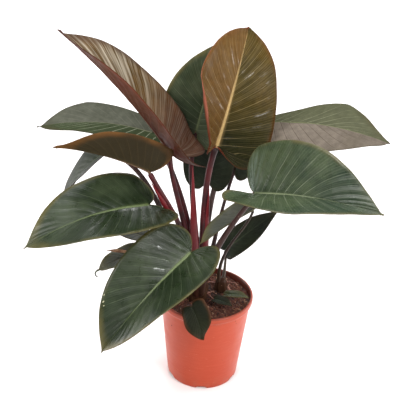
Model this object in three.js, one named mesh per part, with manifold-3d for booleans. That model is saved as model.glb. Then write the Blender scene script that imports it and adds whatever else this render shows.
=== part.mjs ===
import * as THREE from 'three';
import { mergeVertices } from 'three/addons/utils/BufferGeometryUtils.js';
import Module from 'manifold-3d';

// A congo rojo philodendron in its grower's pot. Millimetres, +Z up, origin under the middle of the pot.

const POT_HEIGHT = 240;
const POT_TOP_RADIUS = 116;
const POT_BASE_RADIUS = 91;
const POT_WALL = 3;
const RIM_RADIUS = 120;
const RIM_HEIGHT = 17;
const RIM_ROUND = 4;
const POT_SEGMENTS = 48;

const NOTCH_COUNT = 6;
const NOTCH_WIDTH = 30;
const NOTCH_HEIGHT = 9;
const NOTCH_DEPTH = 16;
const DRAIN_HOLES = 8;
const DRAIN_HOLE_RADIUS = 6;
const DRAIN_RING_RADIUS = 58;

const SOIL_LEVEL = 224;
const SOIL_BUMP = 3.5;
const SOIL_RINGS = 10;
const FIT_GAP = 0.35;

const BLADE_THICKNESS = 1.2;
const PETIOLE_TOP_RADIUS = 6;
const PETIOLE_ROOT_SWELL = 1.6;
const PETIOLE_NECK_RADIUS = 1.6;
const PETIOLE_SIDES = 8;
const PETIOLE_STEPS = 12;
const NECK_LENGTH = 14;
const NECK_GAP = 0.4;

const TURN = Math.PI * 2;
const UP = new THREE.Vector3(0, 0, 1);

const wasm = await Module();
wasm.setup();

const group = new THREE.Group();

function material(colour, roughness) {
  return new THREE.MeshStandardMaterial({ color: colour, roughness, metalness: 0 });
}

function addMesh(name, geometry, colour, roughness) {
  const mesh = new THREE.Mesh(geometry, material(colour, roughness));
  mesh.name = name;
  group.add(mesh);
  return mesh;
}

function toManifold(geometry) {
  const bare = geometry.clone();
  bare.deleteAttribute('normal');
  bare.deleteAttribute('uv');
  const merged = mergeVertices(bare, 1e-4);
  return new wasm.Manifold(
    new wasm.Mesh({
      numProp: 3,
      vertProperties: new Float32Array(merged.attributes.position.array),
      triVerts: new Uint32Array(merged.index.array),
    }),
  );
}

function toGeometry(solid) {
  const mesh = solid.getMesh();
  const geometry = new THREE.BufferGeometry();
  geometry.setAttribute('position', new THREE.BufferAttribute(new Float32Array(mesh.vertProperties), 3));
  geometry.setIndex(new THREE.BufferAttribute(new Uint32Array(mesh.triVerts), 1));
  geometry.computeVertexNormals();
  return geometry;
}

// A lathe about the vertical axis: profile points are [radius, height].
function turned(profile, segments) {
  const lathe = new THREE.LatheGeometry(
    profile.map(([r, z]) => new THREE.Vector2(r, z)),
    segments,
  );
  lathe.rotateX(Math.PI / 2);
  return lathe;
}

function outerRadiusAt(z) {
  return POT_BASE_RADIUS + ((POT_TOP_RADIUS - POT_BASE_RADIUS) * z) / POT_HEIGHT;
}

// The pot: a tapered shell with a rounded rim, foot notches and drainage holes.
function makePot() {
  const rimFoot = POT_HEIGHT - RIM_HEIGHT;
  const innerTop = POT_TOP_RADIUS - POT_WALL;
  const profile = [
    [0, 0],
    [POT_BASE_RADIUS - 3, 0],
    [POT_BASE_RADIUS, 3],
    [outerRadiusAt(rimFoot) - 0.5, rimFoot],
    [RIM_RADIUS - 1.5, rimFoot + 2],
    [RIM_RADIUS, rimFoot + 5],
    [RIM_RADIUS, POT_HEIGHT - RIM_ROUND],
    [RIM_RADIUS - 1.2, POT_HEIGHT - 1.2],
    [RIM_RADIUS - RIM_ROUND, POT_HEIGHT],
    [innerTop + 1, POT_HEIGHT - 1],
    [innerTop, POT_HEIGHT - 4],
    [POT_BASE_RADIUS - POT_WALL, POT_WALL],
    [0, POT_WALL],
  ];
  let pot = toManifold(turned(profile, POT_SEGMENTS));
  for (let i = 0; i < NOTCH_COUNT; i += 1) {
    const angle = (i / NOTCH_COUNT) * TURN - Math.PI / 2;
    const notch = new THREE.CylinderGeometry(NOTCH_WIDTH / 2, NOTCH_WIDTH / 2, NOTCH_DEPTH, 16);
    notch.scale(1, 1, NOTCH_HEIGHT / (NOTCH_WIDTH / 2));
    notch.translate(0, POT_BASE_RADIUS, 0);
    notch.rotateZ(angle - Math.PI / 2);
    pot = pot.subtract(toManifold(notch));
  }
  for (let i = 0; i < DRAIN_HOLES; i += 1) {
    const angle = ((i + 0.5) / DRAIN_HOLES) * TURN;
    const hole = new THREE.CylinderGeometry(DRAIN_HOLE_RADIUS, DRAIN_HOLE_RADIUS, 4 * POT_WALL, 12);
    hole.rotateX(Math.PI / 2);
    hole.translate(Math.cos(angle) * DRAIN_RING_RADIUS, Math.sin(angle) * DRAIN_RING_RADIUS, 0);
    pot = pot.subtract(toManifold(hole));
  }
  return toGeometry(pot);
}

function soilHeight(x, y) {
  const waves = Math.sin(x * 0.11 + 1) * Math.cos(y * 0.13) + 0.6 * Math.sin(x * 0.27 - y * 0.21);
  const crumbs = 0.5 * Math.sin(x * 0.55 + y * 0.48);
  return SOIL_LEVEL + SOIL_BUMP * (waves + crumbs) * 0.6;
}

// The potting mix: it fills the pot and has a plain hole for each shoot.
function makeSoil(holes) {
  const floor = POT_WALL + FIT_GAP;
  const innerRadius = (z) => {
    const foot = POT_BASE_RADIUS - POT_WALL;
    const top = POT_TOP_RADIUS - POT_WALL;
    return foot + ((top - foot) * (z - POT_WALL)) / (POT_HEIGHT - 4 - POT_WALL) - FIT_GAP - 0.4;
  };
  const topRadius = innerRadius(SOIL_LEVEL) - 0.5;
  const profile = [[0, floor], [innerRadius(floor) - 0.5, floor]];
  for (let ring = SOIL_RINGS; ring >= 0; ring -= 1) {
    profile.push([(topRadius * ring) / SOIL_RINGS, SOIL_LEVEL]);
  }
  const soil = turned(profile, 40);
  const at = soil.attributes.position;
  for (let i = 0; i < at.count; i += 1) {
    if (at.getZ(i) > SOIL_LEVEL - 1) {
      at.setZ(i, soilHeight(at.getX(i), at.getY(i)));
    }
  }
  let solid = toManifold(soil);
  for (const { x, y, radius, depth } of holes) {
    const hole = new THREE.CylinderGeometry(radius, radius, depth + 40, 20);
    hole.rotateX(Math.PI / 2);
    hole.translate(x, y, SOIL_LEVEL - depth + (depth + 40) / 2);
    solid = solid.subtract(toManifold(hole));
  }
  return toGeometry(solid);
}

// Half of a leaf's outline, from the sinus at the petiole round the basal lobe to the tip: [along, across].
const OUTLINE = [
  [0, 0],
  [-0.11, 0.12],
  [-0.175, 0.34],
  [-0.15, 0.62],
  [-0.04, 0.86],
  [0.13, 0.985],
  [0.34, 1],
  [0.56, 0.87],
  [0.75, 0.61],
  [0.89, 0.3],
  [0.965, 0.1],
  [1, 0],
];
const FIRST_RISE = 0.34;
const LOBE_REACH = 0.175;
const BASE_FOLD_REACH = 0.5;
const FLARE_REACH = 0.6;

function outlineAt(u) {
  const last = OUTLINE.length - 1;
  const at = Math.min(Math.max(u, 0), 1) * last;
  const i = Math.min(Math.floor(at), last - 1);
  const f = at - i;
  const point = (k) => {
    if (k < 0) {
      return OUTLINE[0].map((value, axis) => 2 * value - OUTLINE[1][axis]);
    }
    if (k > last) {
      return OUTLINE[last].map((value, axis) => 2 * value - OUTLINE[last - 1][axis]);
    }
    return OUTLINE[k];
  };
  const [a, b, c, d] = [point(i - 1), point(i), point(i + 1), point(i + 2)];
  return [0, 1].map(
    (axis) =>
      0.5 *
      (2 * b[axis] +
        (c[axis] - a[axis]) * f +
        (2 * a[axis] - 5 * b[axis] + 4 * c[axis] - d[axis]) * f * f +
        (3 * b[axis] - a[axis] - 3 * c[axis] + d[axis]) * f ** 3),
  );
}

const LEAF_DEFAULTS = {
  roll: 0,
  twist: 0,
  foldLeft: 10,
  foldRight: 10,
  curlLeft: 0,
  curlRight: 0,
  arch: 0.06,
  sway: 0,
  baseFoldLeft: 0,
  baseFoldRight: 0,
  lobeLeft: 1,
  lobeRight: 1,
  lobeLift: 0,
  flareLeft: 0,
  flareRight: 0,
  full: 1,
  wave: 3,
  waves: 3,
  rows: 18,
  columns: 3,
  thickness: BLADE_THICKNESS,
};

// Frame of a leaf: chord from the petiole to the tip, and the two directions across it.
function leafFrame(leaf) {
  const base = new THREE.Vector3(...leaf.base);
  const chord = new THREE.Vector3(...leaf.tip).sub(base);
  const along = chord.clone().normalize();
  const level = UP.clone().addScaledVector(along, -UP.dot(along)).normalize();
  const side = along.clone().cross(level);
  const roll = THREE.MathUtils.degToRad(leaf.roll);
  return {
    base,
    chord,
    along,
    length: chord.length(),
    normal: level.clone().multiplyScalar(Math.cos(roll)).addScaledVector(side, Math.sin(roll)),
    across: side.clone().multiplyScalar(Math.cos(roll)).addScaledVector(level, -Math.sin(roll)),
  };
}

// Point of a leaf's middle surface: u runs round the margin, v from -1 to 1 across the blade.
function leafPoint(leaf, frame, u, v) {
  const reach = Math.abs(v);
  const right = v > 0;
  const [marginAlong, outlineAcross] = outlineAt(u);
  const marginAcross = Math.max(0, outlineAcross) ** leaf.full;
  const root = Math.max(0, (u - FIRST_RISE) / (1 - FIRST_RISE)) ** 1.15;
  const lobe = right ? leaf.lobeRight : leaf.lobeLeft;
  const edge = marginAlong < 0 ? marginAlong * lobe : marginAlong;
  const forward = u > FIRST_RISE ? 0.06 * reach * (1 - reach) : 0;
  const a = root + (edge - root) * reach + forward;
  const flare = right ? leaf.flareRight : leaf.flareLeft;
  const w = marginAcross * reach * (1 + flare * Math.max(0, 1 - Math.max(a, 0) / FLARE_REACH));
  const half = leaf.width / 2;
  const fold = right ? leaf.foldRight : leaf.foldLeft;
  const curl = right ? leaf.curlRight : leaf.curlLeft;
  const nearBase = Math.max(0, 1 - Math.max(a, 0) / BASE_FOLD_REACH);
  const baseFold = (right ? leaf.baseFoldRight : leaf.baseFoldLeft) * nearBase;
  const lift = THREE.MathUtils.degToRad(fold + baseFold + 0.5 * curl * w);
  const bow = a > 0 ? 4 * a * (1 - a) : 4 * a;
  const lobeRise = a < 0 ? leaf.lobeLift * (a / LOBE_REACH) ** 2 : 0;
  const twist = THREE.MathUtils.degToRad(leaf.twist * a);
  const normal = frame.normal
    .clone()
    .multiplyScalar(Math.cos(twist))
    .addScaledVector(frame.across, Math.sin(twist));
  const across = frame.across
    .clone()
    .multiplyScalar(Math.cos(twist))
    .addScaledVector(frame.normal, -Math.sin(twist));
  const ripple = leaf.wave * Math.sin(TURN * leaf.waves * u + (right ? 0 : 1.7)) * reach ** 2;
  return frame.base
    .clone()
    .addScaledVector(frame.chord, a)
    .addScaledVector(frame.normal, leaf.arch * frame.length * bow + lobeRise)
    .addScaledVector(frame.across, leaf.sway * frame.length * bow)
    .addScaledVector(across, (right ? 1 : -1) * half * w * Math.cos(lift))
    .addScaledVector(normal, half * w * Math.sin(lift) + ripple);
}

// Closed shell of even thickness about an open sheet of triangles.
function thickened(points, triangles, thickness) {
  const normals = points.map(() => new THREE.Vector3());
  for (const [a, b, c] of triangles) {
    const face = points[b].clone().sub(points[a]).cross(points[c].clone().sub(points[a]));
    for (const corner of [a, b, c]) {
      normals[corner].add(face);
    }
  }
  const count = points.length;
  const positions = [];
  for (const sign of [1, -1]) {
    points.forEach((point, i) => {
      const normal = normals[i].clone().normalize();
      positions.push(...point.clone().addScaledVector(normal, (sign * thickness) / 2).toArray());
    });
  }
  const index = [];
  const directed = new Set();
  for (const [a, b, c] of triangles) {
    index.push(a, b, c, a + count, c + count, b + count);
    directed.add(`${a} ${b}`).add(`${b} ${c}`).add(`${c} ${a}`);
  }
  for (const [a, b, c] of triangles) {
    for (const [p, q] of [[a, b], [b, c], [c, a]]) {
      if (!directed.has(`${q} ${p}`)) {
        index.push(p, p + count, q + count, p, q + count, q);
      }
    }
  }
  const geometry = new THREE.BufferGeometry();
  geometry.setAttribute('position', new THREE.Float32BufferAttribute(positions, 3));
  geometry.setIndex(index);
  geometry.computeVertexNormals();
  return geometry;
}

function makeBlade(leaf) {
  const frame = leafFrame(leaf);
  const points = [];
  const known = new Map();
  const pointAt = (row, column) => {
    const place = leafPoint(leaf, frame, row / leaf.rows, column / leaf.columns);
    const key = place.toArray().map((value) => value.toFixed(2)).join(' ');
    if (!known.has(key)) {
      known.set(key, points.length);
      points.push(place);
    }
    return known.get(key);
  };
  const triangles = [];
  for (let row = 0; row < leaf.rows; row += 1) {
    for (let column = -leaf.columns; column < leaf.columns; column += 1) {
      const [a, b] = [pointAt(row, column), pointAt(row, column + 1)];
      const [c, d] = [pointAt(row + 1, column + 1), pointAt(row + 1, column)];
      const quad = column < 0 ? [[a, b, c], [a, c, d]] : [[a, b, d], [b, c, d]];
      for (const triangle of quad) {
        if (new Set(triangle).size === 3) {
          triangles.push(triangle);
        }
      }
    }
  }
  return thickened(points, triangles, leaf.thickness);
}

// Round stem along a curve whose radius changes on the way, with closed ends.
function taperedStem(curve, radiusAt, steps, sides) {
  const positions = [];
  const index = [];
  const frames = curve.computeFrenetFrames(steps, false);
  for (let i = 0; i <= steps; i += 1) {
    const centre = curve.getPointAt(i / steps);
    for (let k = 0; k < sides; k += 1) {
      const angle = (k / sides) * TURN;
      const point = centre
        .clone()
        .addScaledVector(frames.normals[i], Math.cos(angle) * radiusAt(i / steps))
        .addScaledVector(frames.binormals[i], Math.sin(angle) * radiusAt(i / steps));
      positions.push(...point.toArray());
    }
  }
  for (let i = 0; i < steps; i += 1) {
    for (let k = 0; k < sides; k += 1) {
      const [a, b] = [i * sides + k, i * sides + ((k + 1) % sides)];
      index.push(a, b, b + sides, a, b + sides, a + sides);
    }
  }
  for (let k = 1; k < sides - 1; k += 1) {
    index.push(0, k + 1, k);
    index.push(steps * sides, steps * sides + k, steps * sides + k + 1);
  }
  const geometry = new THREE.BufferGeometry();
  geometry.setAttribute('position', new THREE.Float32BufferAttribute(positions, 3));
  geometry.setIndex(index);
  return geometry;
}

// Petiole from its root on a shoot to just under the leaf, where it narrows to a neck.
function makePetiole(leaf) {
  const { base, along, normal } = leafFrame(leaf);
  const stalk = { arrive: 45, rise: 0.4, bend: 0.3, radius: PETIOLE_TOP_RADIUS, ...leaf.petiole };
  const root = new THREE.Vector3(...stalk.root);
  const arrive = THREE.MathUtils.degToRad(stalk.arrive);
  const heading = along
    .clone()
    .multiplyScalar(Math.cos(arrive))
    .addScaledVector(normal, Math.sin(arrive));
  const drop = leaf.thickness / 2 + NECK_GAP + PETIOLE_NECK_RADIUS * Math.abs(Math.cos(arrive));
  const end = base.clone().addScaledVector(normal, -drop);
  const span = end.distanceTo(root);
  const leave = new THREE.Vector3(...(stalk.lean ?? [0, 0, 1])).normalize();
  const curve = new THREE.CubicBezierCurve3(
    root,
    root.clone().addScaledVector(leave, span * stalk.rise),
    end.clone().addScaledVector(heading, -span * stalk.bend),
    end,
  );
  const rootRadius = stalk.radius * PETIOLE_ROOT_SWELL;
  const neckStart = 1 - NECK_LENGTH / span;
  const radiusAt = (t) => {
    const body = rootRadius + (stalk.radius - rootRadius) * Math.min(1, t * 1.6);
    const neck = Math.max(0, (t - neckStart) / (1 - neckStart));
    return body + (PETIOLE_NECK_RADIUS - body) * neck;
  };
  return taperedStem(curve, radiusAt, PETIOLE_STEPS, PETIOLE_SIDES);
}

// Leaves: where the petiole meets the blade, where the tip is, the flat width, and how the blade is bent.
// roll tips the right side down (seen from the petiole), fold lifts the halves, curl bends them.
const LEAVES = [
  {
    name: 'leaf_upright_bronze',
    base: [5, 15, 643],
    tip: [66, 130, 893],
    width: 222,
    flareRight: 0.14,
    roll: 36,
    foldLeft: 14,
    foldRight: 4,
    baseFoldLeft: 42,
    curlLeft: 30,
    curlRight: -12,
    arch: 0.07,
    lobeLeft: 0.5,
    lobeRight: 0.75,
    full: 0.6,
    colour: 0x6f5f38,
    shoot: 'main',
    petiole: { root: [-12, 6, 236], arrive: 20, radius: 7.5 },
  },
  {
    name: 'leaf_upright_green',
    base: [-44, 85, 648],
    tip: [2, 150, 850],
    width: 190,
    roll: 36,
    foldLeft: 8,
    foldRight: 8,
    arch: 0.06,
    colour: 0x3f4a38,
    shoot: 'main',
    petiole: { root: [-22, 20, 236], arrive: 20 },
  },
  {
    name: 'leaf_bronze_upper_left',
    base: [-102, -10, 633],
    tip: [-340, -60, 925],
    width: 190,
    rows: 17,
    roll: -4,
    foldLeft: 28,
    foldRight: 44,
    arch: 0.03,
    lobeLift: 38,
    colour: 0x6d4a3c,
    shoot: 'main',
    petiole: { root: [-34, -2, 236], arrive: 35 },
  },
  {
    name: 'leaf_bronze_left',
    base: [-146, -60, 606],
    tip: [-345, -140, 692],
    width: 164,
    baseFoldLeft: 14,
    roll: 22,
    foldLeft: 45,
    foldRight: 8,
    arch: 0.04,
    lobeLift: 25,
    colour: 0x5a4a34,
    shoot: 'main',
    petiole: { root: [-36, 4, 236], arrive: 45, rise: 0.5, lean: [-0.1, 0.12, 1] },
  },
  {
    name: 'leaf_green_left_back',
    base: [-150, 90, 636],
    tip: [-425, 80, 640],
    width: 166,
    flareRight: -0.5,
    roll: -10,
    foldLeft: 12,
    foldRight: 12,
    arch: 0.08,
    colour: 0x4a5744,
    shoot: 'main',
    petiole: { root: [-32, 22, 236], arrive: 60 },
  },
  {
    name: 'leaf_green_hanging_left',
    base: [-256, 66, 594],
    tip: [-372, 60, 405],
    width: 150,
    roll: 0,
    foldLeft: 12,
    foldRight: 12,
    arch: 0.1,
    colour: 0x384233,
    shoot: 'main',
    petiole: { root: [-40, 8, 236], arrive: 80, lean: [-0.35, 0, 1] },
  },
  {
    name: 'leaf_green_left',
    base: [-145, -60, 518],
    tip: [-410, -200, 470],
    width: 200,
    roll: -14,
    foldLeft: 10,
    foldRight: 14,
    lobeRight: 0.5,
    arch: 0.1,
    colour: 0x465340,
    shoot: 'main',
    petiole: { root: [-40, -6, 236], arrive: 70, lean: [-0.3, 0.1, 1] },
  },
  {
    name: 'leaf_small_grey_left',
    base: [-165, 40, 372],
    tip: [-290, 50, 385],
    width: 80,
    roll: 0,
    colour: 0x4b4a40,
    rows: 14,
    shoot: 'main',
    petiole: { root: [-44, 14, 236], arrive: 70, radius: 3.2, lean: [-0.7, 0, 1] },
  },
  {
    name: 'leaf_small_green_left',
    base: [-174, 30, 327],
    tip: [-277, 2, 289],
    width: 76,
    roll: -10,
    colour: 0x4c5145,
    rows: 14,
    shoot: 'main',
    petiole: { root: [-48, 2, 236], arrive: 80, radius: 3.2, lean: [-0.8, 0, 1] },
  },
  {
    name: 'leaf_big_front',
    base: [-42, -90, 413],
    tip: [-237, -228, 215],
    width: 214,
    baseFoldLeft: -14,
    full: 0.9,
    rows: 17,
    roll: -28,
    foldLeft: 43,
    foldRight: 21,
    arch: 0.09,
    lobeLeft: 0.9,
    lobeRight: 0.6,
    colour: 0x46523b,
    shoot: 'main',
    petiole: { root: [-24, -16, 236], arrive: 80, lean: [0, -0.2, 1] },
  },
  {
    name: 'leaf_twisted_centre',
    base: [107, 48, 460],
    tip: [-22, -74, 426],
    width: 84,
    roll: -6,
    foldLeft: 50,
    foldRight: 12,
    arch: 0.02,
    colour: 0x55564c,
    rows: 16,
    shoot: 'right',
    petiole: { root: [34, 30, 236], arrive: 115, rise: 0.5, bend: 0.3, radius: 3.2, lean: [-0.16, 0, 1] },
  },
  {
    name: 'leaf_dark_lower_right',
    base: [45, 84, 317],
    tip: [170, 88, 436],
    width: 68,
    roll: 52,
    lobeLeft: 0.35,
    lobeRight: 0.35,
    foldLeft: 8,
    foldRight: 8,
    arch: 0.03,
    colour: 0x2f332b,
    rows: 16,
    shoot: 'right',
    petiole: { root: [44, 42, 236], arrive: 75, radius: 3.2, lean: [0, 0.2, 1] },
  },
  {
    name: 'leaf_dark_centre_back',
    base: [-10, 105, 515],
    tip: [0, 165, 700],
    width: 130,
    roll: 0,
    colour: 0x2c3029,
    rows: 16,
    shoot: 'main',
    petiole: { root: [-10, 28, 236], arrive: 30, radius: 4.5 },
  },
  {
    name: 'leaf_dark_right_back',
    base: [60, 154, 524],
    tip: [132, 222, 642],
    width: 110,
    roll: 20,
    colour: 0x343a30,
    rows: 16,
    shoot: 'main',
    petiole: { root: [-6, 24, 236], arrive: 30, radius: 4.5, lean: [0.15, 0.2, 1] },
  },
  {
    name: 'leaf_green_upper_right',
    base: [124, 136, 658],
    tip: [404, 14, 672],
    width: 212,
    flareRight: -0.22,
    flareLeft: -0.8,
    lobeLeft: 0.3,
    roll: 4,
    foldLeft: 14,
    foldRight: -14,
    arch: 0.06,
    colour: 0x525a47,
    shoot: 'main',
    petiole: { root: [-14, 14, 236], arrive: 35, rise: 0.5, bend: 0.4, lean: [0.04, 0.1, 1] },
  },
  {
    name: 'leaf_green_right',
    base: [98, -60, 562],
    tip: [355, -240, 622],
    width: 244,
    roll: 32,
    foldLeft: 38,
    foldRight: 36,
    baseFoldRight: 8,
    arch: 0.07,
    lobeLeft: 0.45,
    lobeRight: 0.72,
    lobeLift: 52,
    colour: 0x4d5b45,
    shoot: 'main',
    petiole: { root: [-14, -14, 236], arrive: 60, rise: 0.5, bend: 0.12, radius: 6, lean: [0, -0.32, 1] },
  },
  {
    name: 'leaf_small_over_rim',
    base: [-35, -128, 284],
    tip: [-3, -152, 205],
    width: 92,
    foldRight: 4,
    foldLeft: 4,
    lobeRight: 0.5,
    lobeLeft: 0.5,
    full: 0.9,
    roll: 0,
    colour: 0x353828,
    rows: 14,
    thickness: 0.9,
    shoot: 'front',
    petiole: { root: [-17, -69, 216], arrive: 80, radius: 2.2, lean: [0, 0.1, 1] },
  },
  {
    name: 'leaf_young_on_soil',
    base: [52, -20, 250],
    tip: [108, -34, 252],
    width: 26,
    roll: 10,
    arch: 0.08,
    colour: 0x4d5240,
    rows: 12,
    columns: 2,
    wave: 1,
    thickness: 0.9,
    shoot: 'soil',
    petiole: { root: [40, -10, 216], arrive: 70, radius: 1.8 },
  },
  {
    name: 'leaf_young_dark_on_soil',
    base: [24, -38, 246],
    tip: [66, -62, 244],
    width: 30,
    roll: 10,
    arch: 0.08,
    colour: 0x31382b,
    rows: 12,
    columns: 2,
    wave: 1,
    thickness: 0.9,
    shoot: 'soil',
    petiole: { root: [20, -24, 216], arrive: 70, radius: 1.8 },
  },
].map((leaf) => ({ ...LEAF_DEFAULTS, ...leaf }));

// Red sheaths that new leaves came out of: root, point and largest radius.
const SHEATHS = [
  { root: [-28, -8, 240], tip: [-48, -12, 606], radius: 13 },
  { root: [-10, -2, 240], tip: [-6, 4, 545], radius: 10 },
];

const SHOOTS = {
  main: { colour: 0x552a2a, stump: { at: [-24, 4], radius: 30, top: 272 } },
  right: { colour: 0x4c3430, stump: { at: [38, 36], radius: 16, top: 262 } },
  front: { colour: 0x5c3a34 },
  soil: { colour: 0x4c4a3a },
};

const STUMP_DEPTH = 26;

function makeStump({ at, radius, top }) {
  const foot = SOIL_LEVEL - STUMP_DEPTH;
  const profile = [
    [0, foot],
    [radius, foot],
    [radius, top - radius * 0.5],
    [radius * 0.8, top - radius * 0.18],
    [0, top],
  ];
  const stump = turned(profile, 20);
  stump.translate(at[0], at[1], 0);
  return toManifold(stump);
}

function makeSheath({ root, tip, radius }) {
  const foot = new THREE.Vector3(...root);
  const point = new THREE.Vector3(...tip);
  const middle = foot.clone().lerp(point, 0.5).add(new THREE.Vector3(0, 6, 0));
  const curve = new THREE.QuadraticBezierCurve3(foot, middle, point);
  const radiusAt = (t) => radius * (t < 0.4 ? 0.85 + 0.375 * t : Math.max(0.08, (1 - t) / 0.6));
  return taperedStem(curve, radiusAt, 10, 7);
}

const soilHoles = [];

for (const [shootName, shoot] of Object.entries(SHOOTS)) {
  const stalks = LEAVES.filter((leaf) => leaf.shoot === shootName);
  if (shoot.stump) {
    let solid = makeStump(shoot.stump);
    for (const leaf of stalks) {
      solid = solid.add(toManifold(makePetiole(leaf)));
    }
    if (shootName === 'main') {
      for (const sheath of SHEATHS) {
        solid = solid.add(toManifold(makeSheath(sheath)));
      }
    }
    addMesh(`shoot_${shootName}`, toGeometry(solid), shoot.colour, 0.45);
    soilHoles.push({
      x: shoot.stump.at[0],
      y: shoot.stump.at[1],
      radius: shoot.stump.radius + 0.6,
      depth: STUMP_DEPTH + FIT_GAP,
    });
  } else {
    stalks.forEach((leaf, i) => {
      addMesh(`shoot_${shootName}_${i + 1}`, makePetiole(leaf), shoot.colour, 0.5);
      const [x, y, z] = leaf.petiole.root;
      soilHoles.push({ x, y, radius: leaf.petiole.radius * 2 + 1.2, depth: SOIL_LEVEL - z + 1 });
    });
  }
}

for (const leaf of LEAVES) {
  addMesh(leaf.name, makeBlade(leaf), leaf.colour, 0.42);
}

addMesh('pot', makePot(), 0xc7603f, 0.45);
addMesh('soil', makeSoil(soilHoles), 0x3f2820, 0.95);

export default group;
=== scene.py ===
import math
import random

import bmesh
import bpy
from mathutils import Matrix, Vector, noise


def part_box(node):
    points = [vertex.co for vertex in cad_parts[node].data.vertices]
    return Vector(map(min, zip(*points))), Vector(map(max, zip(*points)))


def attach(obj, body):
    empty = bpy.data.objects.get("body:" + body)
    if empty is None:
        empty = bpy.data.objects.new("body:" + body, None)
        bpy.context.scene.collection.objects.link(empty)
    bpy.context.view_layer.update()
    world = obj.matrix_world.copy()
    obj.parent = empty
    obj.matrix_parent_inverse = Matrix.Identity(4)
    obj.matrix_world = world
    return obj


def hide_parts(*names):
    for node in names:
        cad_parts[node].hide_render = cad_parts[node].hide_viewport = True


bl_info = {
    "name": "Potted congo rojo philodendron",
    "version": (1, 0, 0),
    "blender": (4, 5, 0),
    "location": "View3D > Sidebar > Philodendron",
    "description": "Builds the leaves, shoots, pot and potting mix of a potted philodendron",
    "category": "Object",
}

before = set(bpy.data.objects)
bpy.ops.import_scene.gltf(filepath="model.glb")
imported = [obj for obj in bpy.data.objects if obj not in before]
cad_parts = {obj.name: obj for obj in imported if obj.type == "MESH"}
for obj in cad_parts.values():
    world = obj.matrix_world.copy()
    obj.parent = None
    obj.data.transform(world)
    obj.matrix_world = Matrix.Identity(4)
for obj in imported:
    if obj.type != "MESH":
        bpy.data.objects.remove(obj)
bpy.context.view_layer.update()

MM = 0.001
TURN = 2 * math.pi

POT_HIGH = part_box("pot")[1]
POT_HEIGHT = POT_HIGH.z / MM
RIM_RADIUS = POT_HIGH.x / MM
POT_BASE_RADIUS = 91
POT_TOP_RADIUS = 116
POT_WALL = 3
RIM_HEIGHT = 17
NOTCH_COUNT = 6
NOTCH_WIDTH = 30
NOTCH_HEIGHT = 9
DRAIN_HOLES = 8
DRAIN_HOLE_RADIUS = 6
DRAIN_RING_RADIUS = 58
POT_SIDES = 144

SOIL_LEVEL = 224
SOIL_BUMP = 3.5
SOIL_GAP = 0.9
SOIL_RADIUS = (
    POT_BASE_RADIUS + (POT_TOP_RADIUS - POT_BASE_RADIUS) * SOIL_LEVEL / POT_HEIGHT - POT_WALL - SOIL_GAP
)
SOIL_SIDES = 220
SOIL_RINGS = 84
LITTER_SEED = 7
BARK_CHIPS = 520
FIBRES = 330

PETIOLE_TOP_RADIUS = 6
PETIOLE_ROOT_SWELL = 1.6
PETIOLE_STEPS = 48
STEM_DEPTH = 26
NECK_DROP = 1.5
MIDRIB_STEPS = 40
WIDE_LEAF = 120

# Shape of a blade. The midrib starts at FIRST_RISE round the margin; what lies before it is the lobe.
FIRST_RISE = 0.34
RISE_POWER = 1.15
LOBE_REACH = 0.175
BASE_FOLD_REACH = 0.5
FLARE_REACH = 0.6
VEIN_SWEEP = 0.09
MARGIN_WAVES = 3
ROLL_START = 0.84
ROLL_OUT = 1.35

# Half of a leaf's outline, from the sinus at the petiole round the basal lobe to the tip: (along, across).
OUTLINE = [
    (0, 0),
    (-0.11, 0.12),
    (-0.175, 0.34),
    (-0.15, 0.62),
    (-0.04, 0.86),
    (0.13, 0.985),
    (0.34, 1),
    (0.56, 0.87),
    (0.75, 0.61),
    (0.89, 0.3),
    (0.965, 0.1),
    (1, 0),
]

LEAF_DEFAULTS = dict(
    roll=0, fold_left=10, fold_right=10, base_fold_left=0, base_fold_right=0, curl_left=0, curl_right=0,
    lobe_left=1, lobe_right=1, lobe_lift=0, flare_left=0, flare_right=0, arch=0.06, rolled_edge=0, full=1,
    wave=3, small=False, tone="green", slot="leaf_green", shoot="main",
)
PETIOLE_DEFAULTS = dict(
    arrive=45, rise=0.4, bend=0.3, radius=PETIOLE_TOP_RADIUS, lean=(0, 0, 1), shade="red"
)

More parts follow.
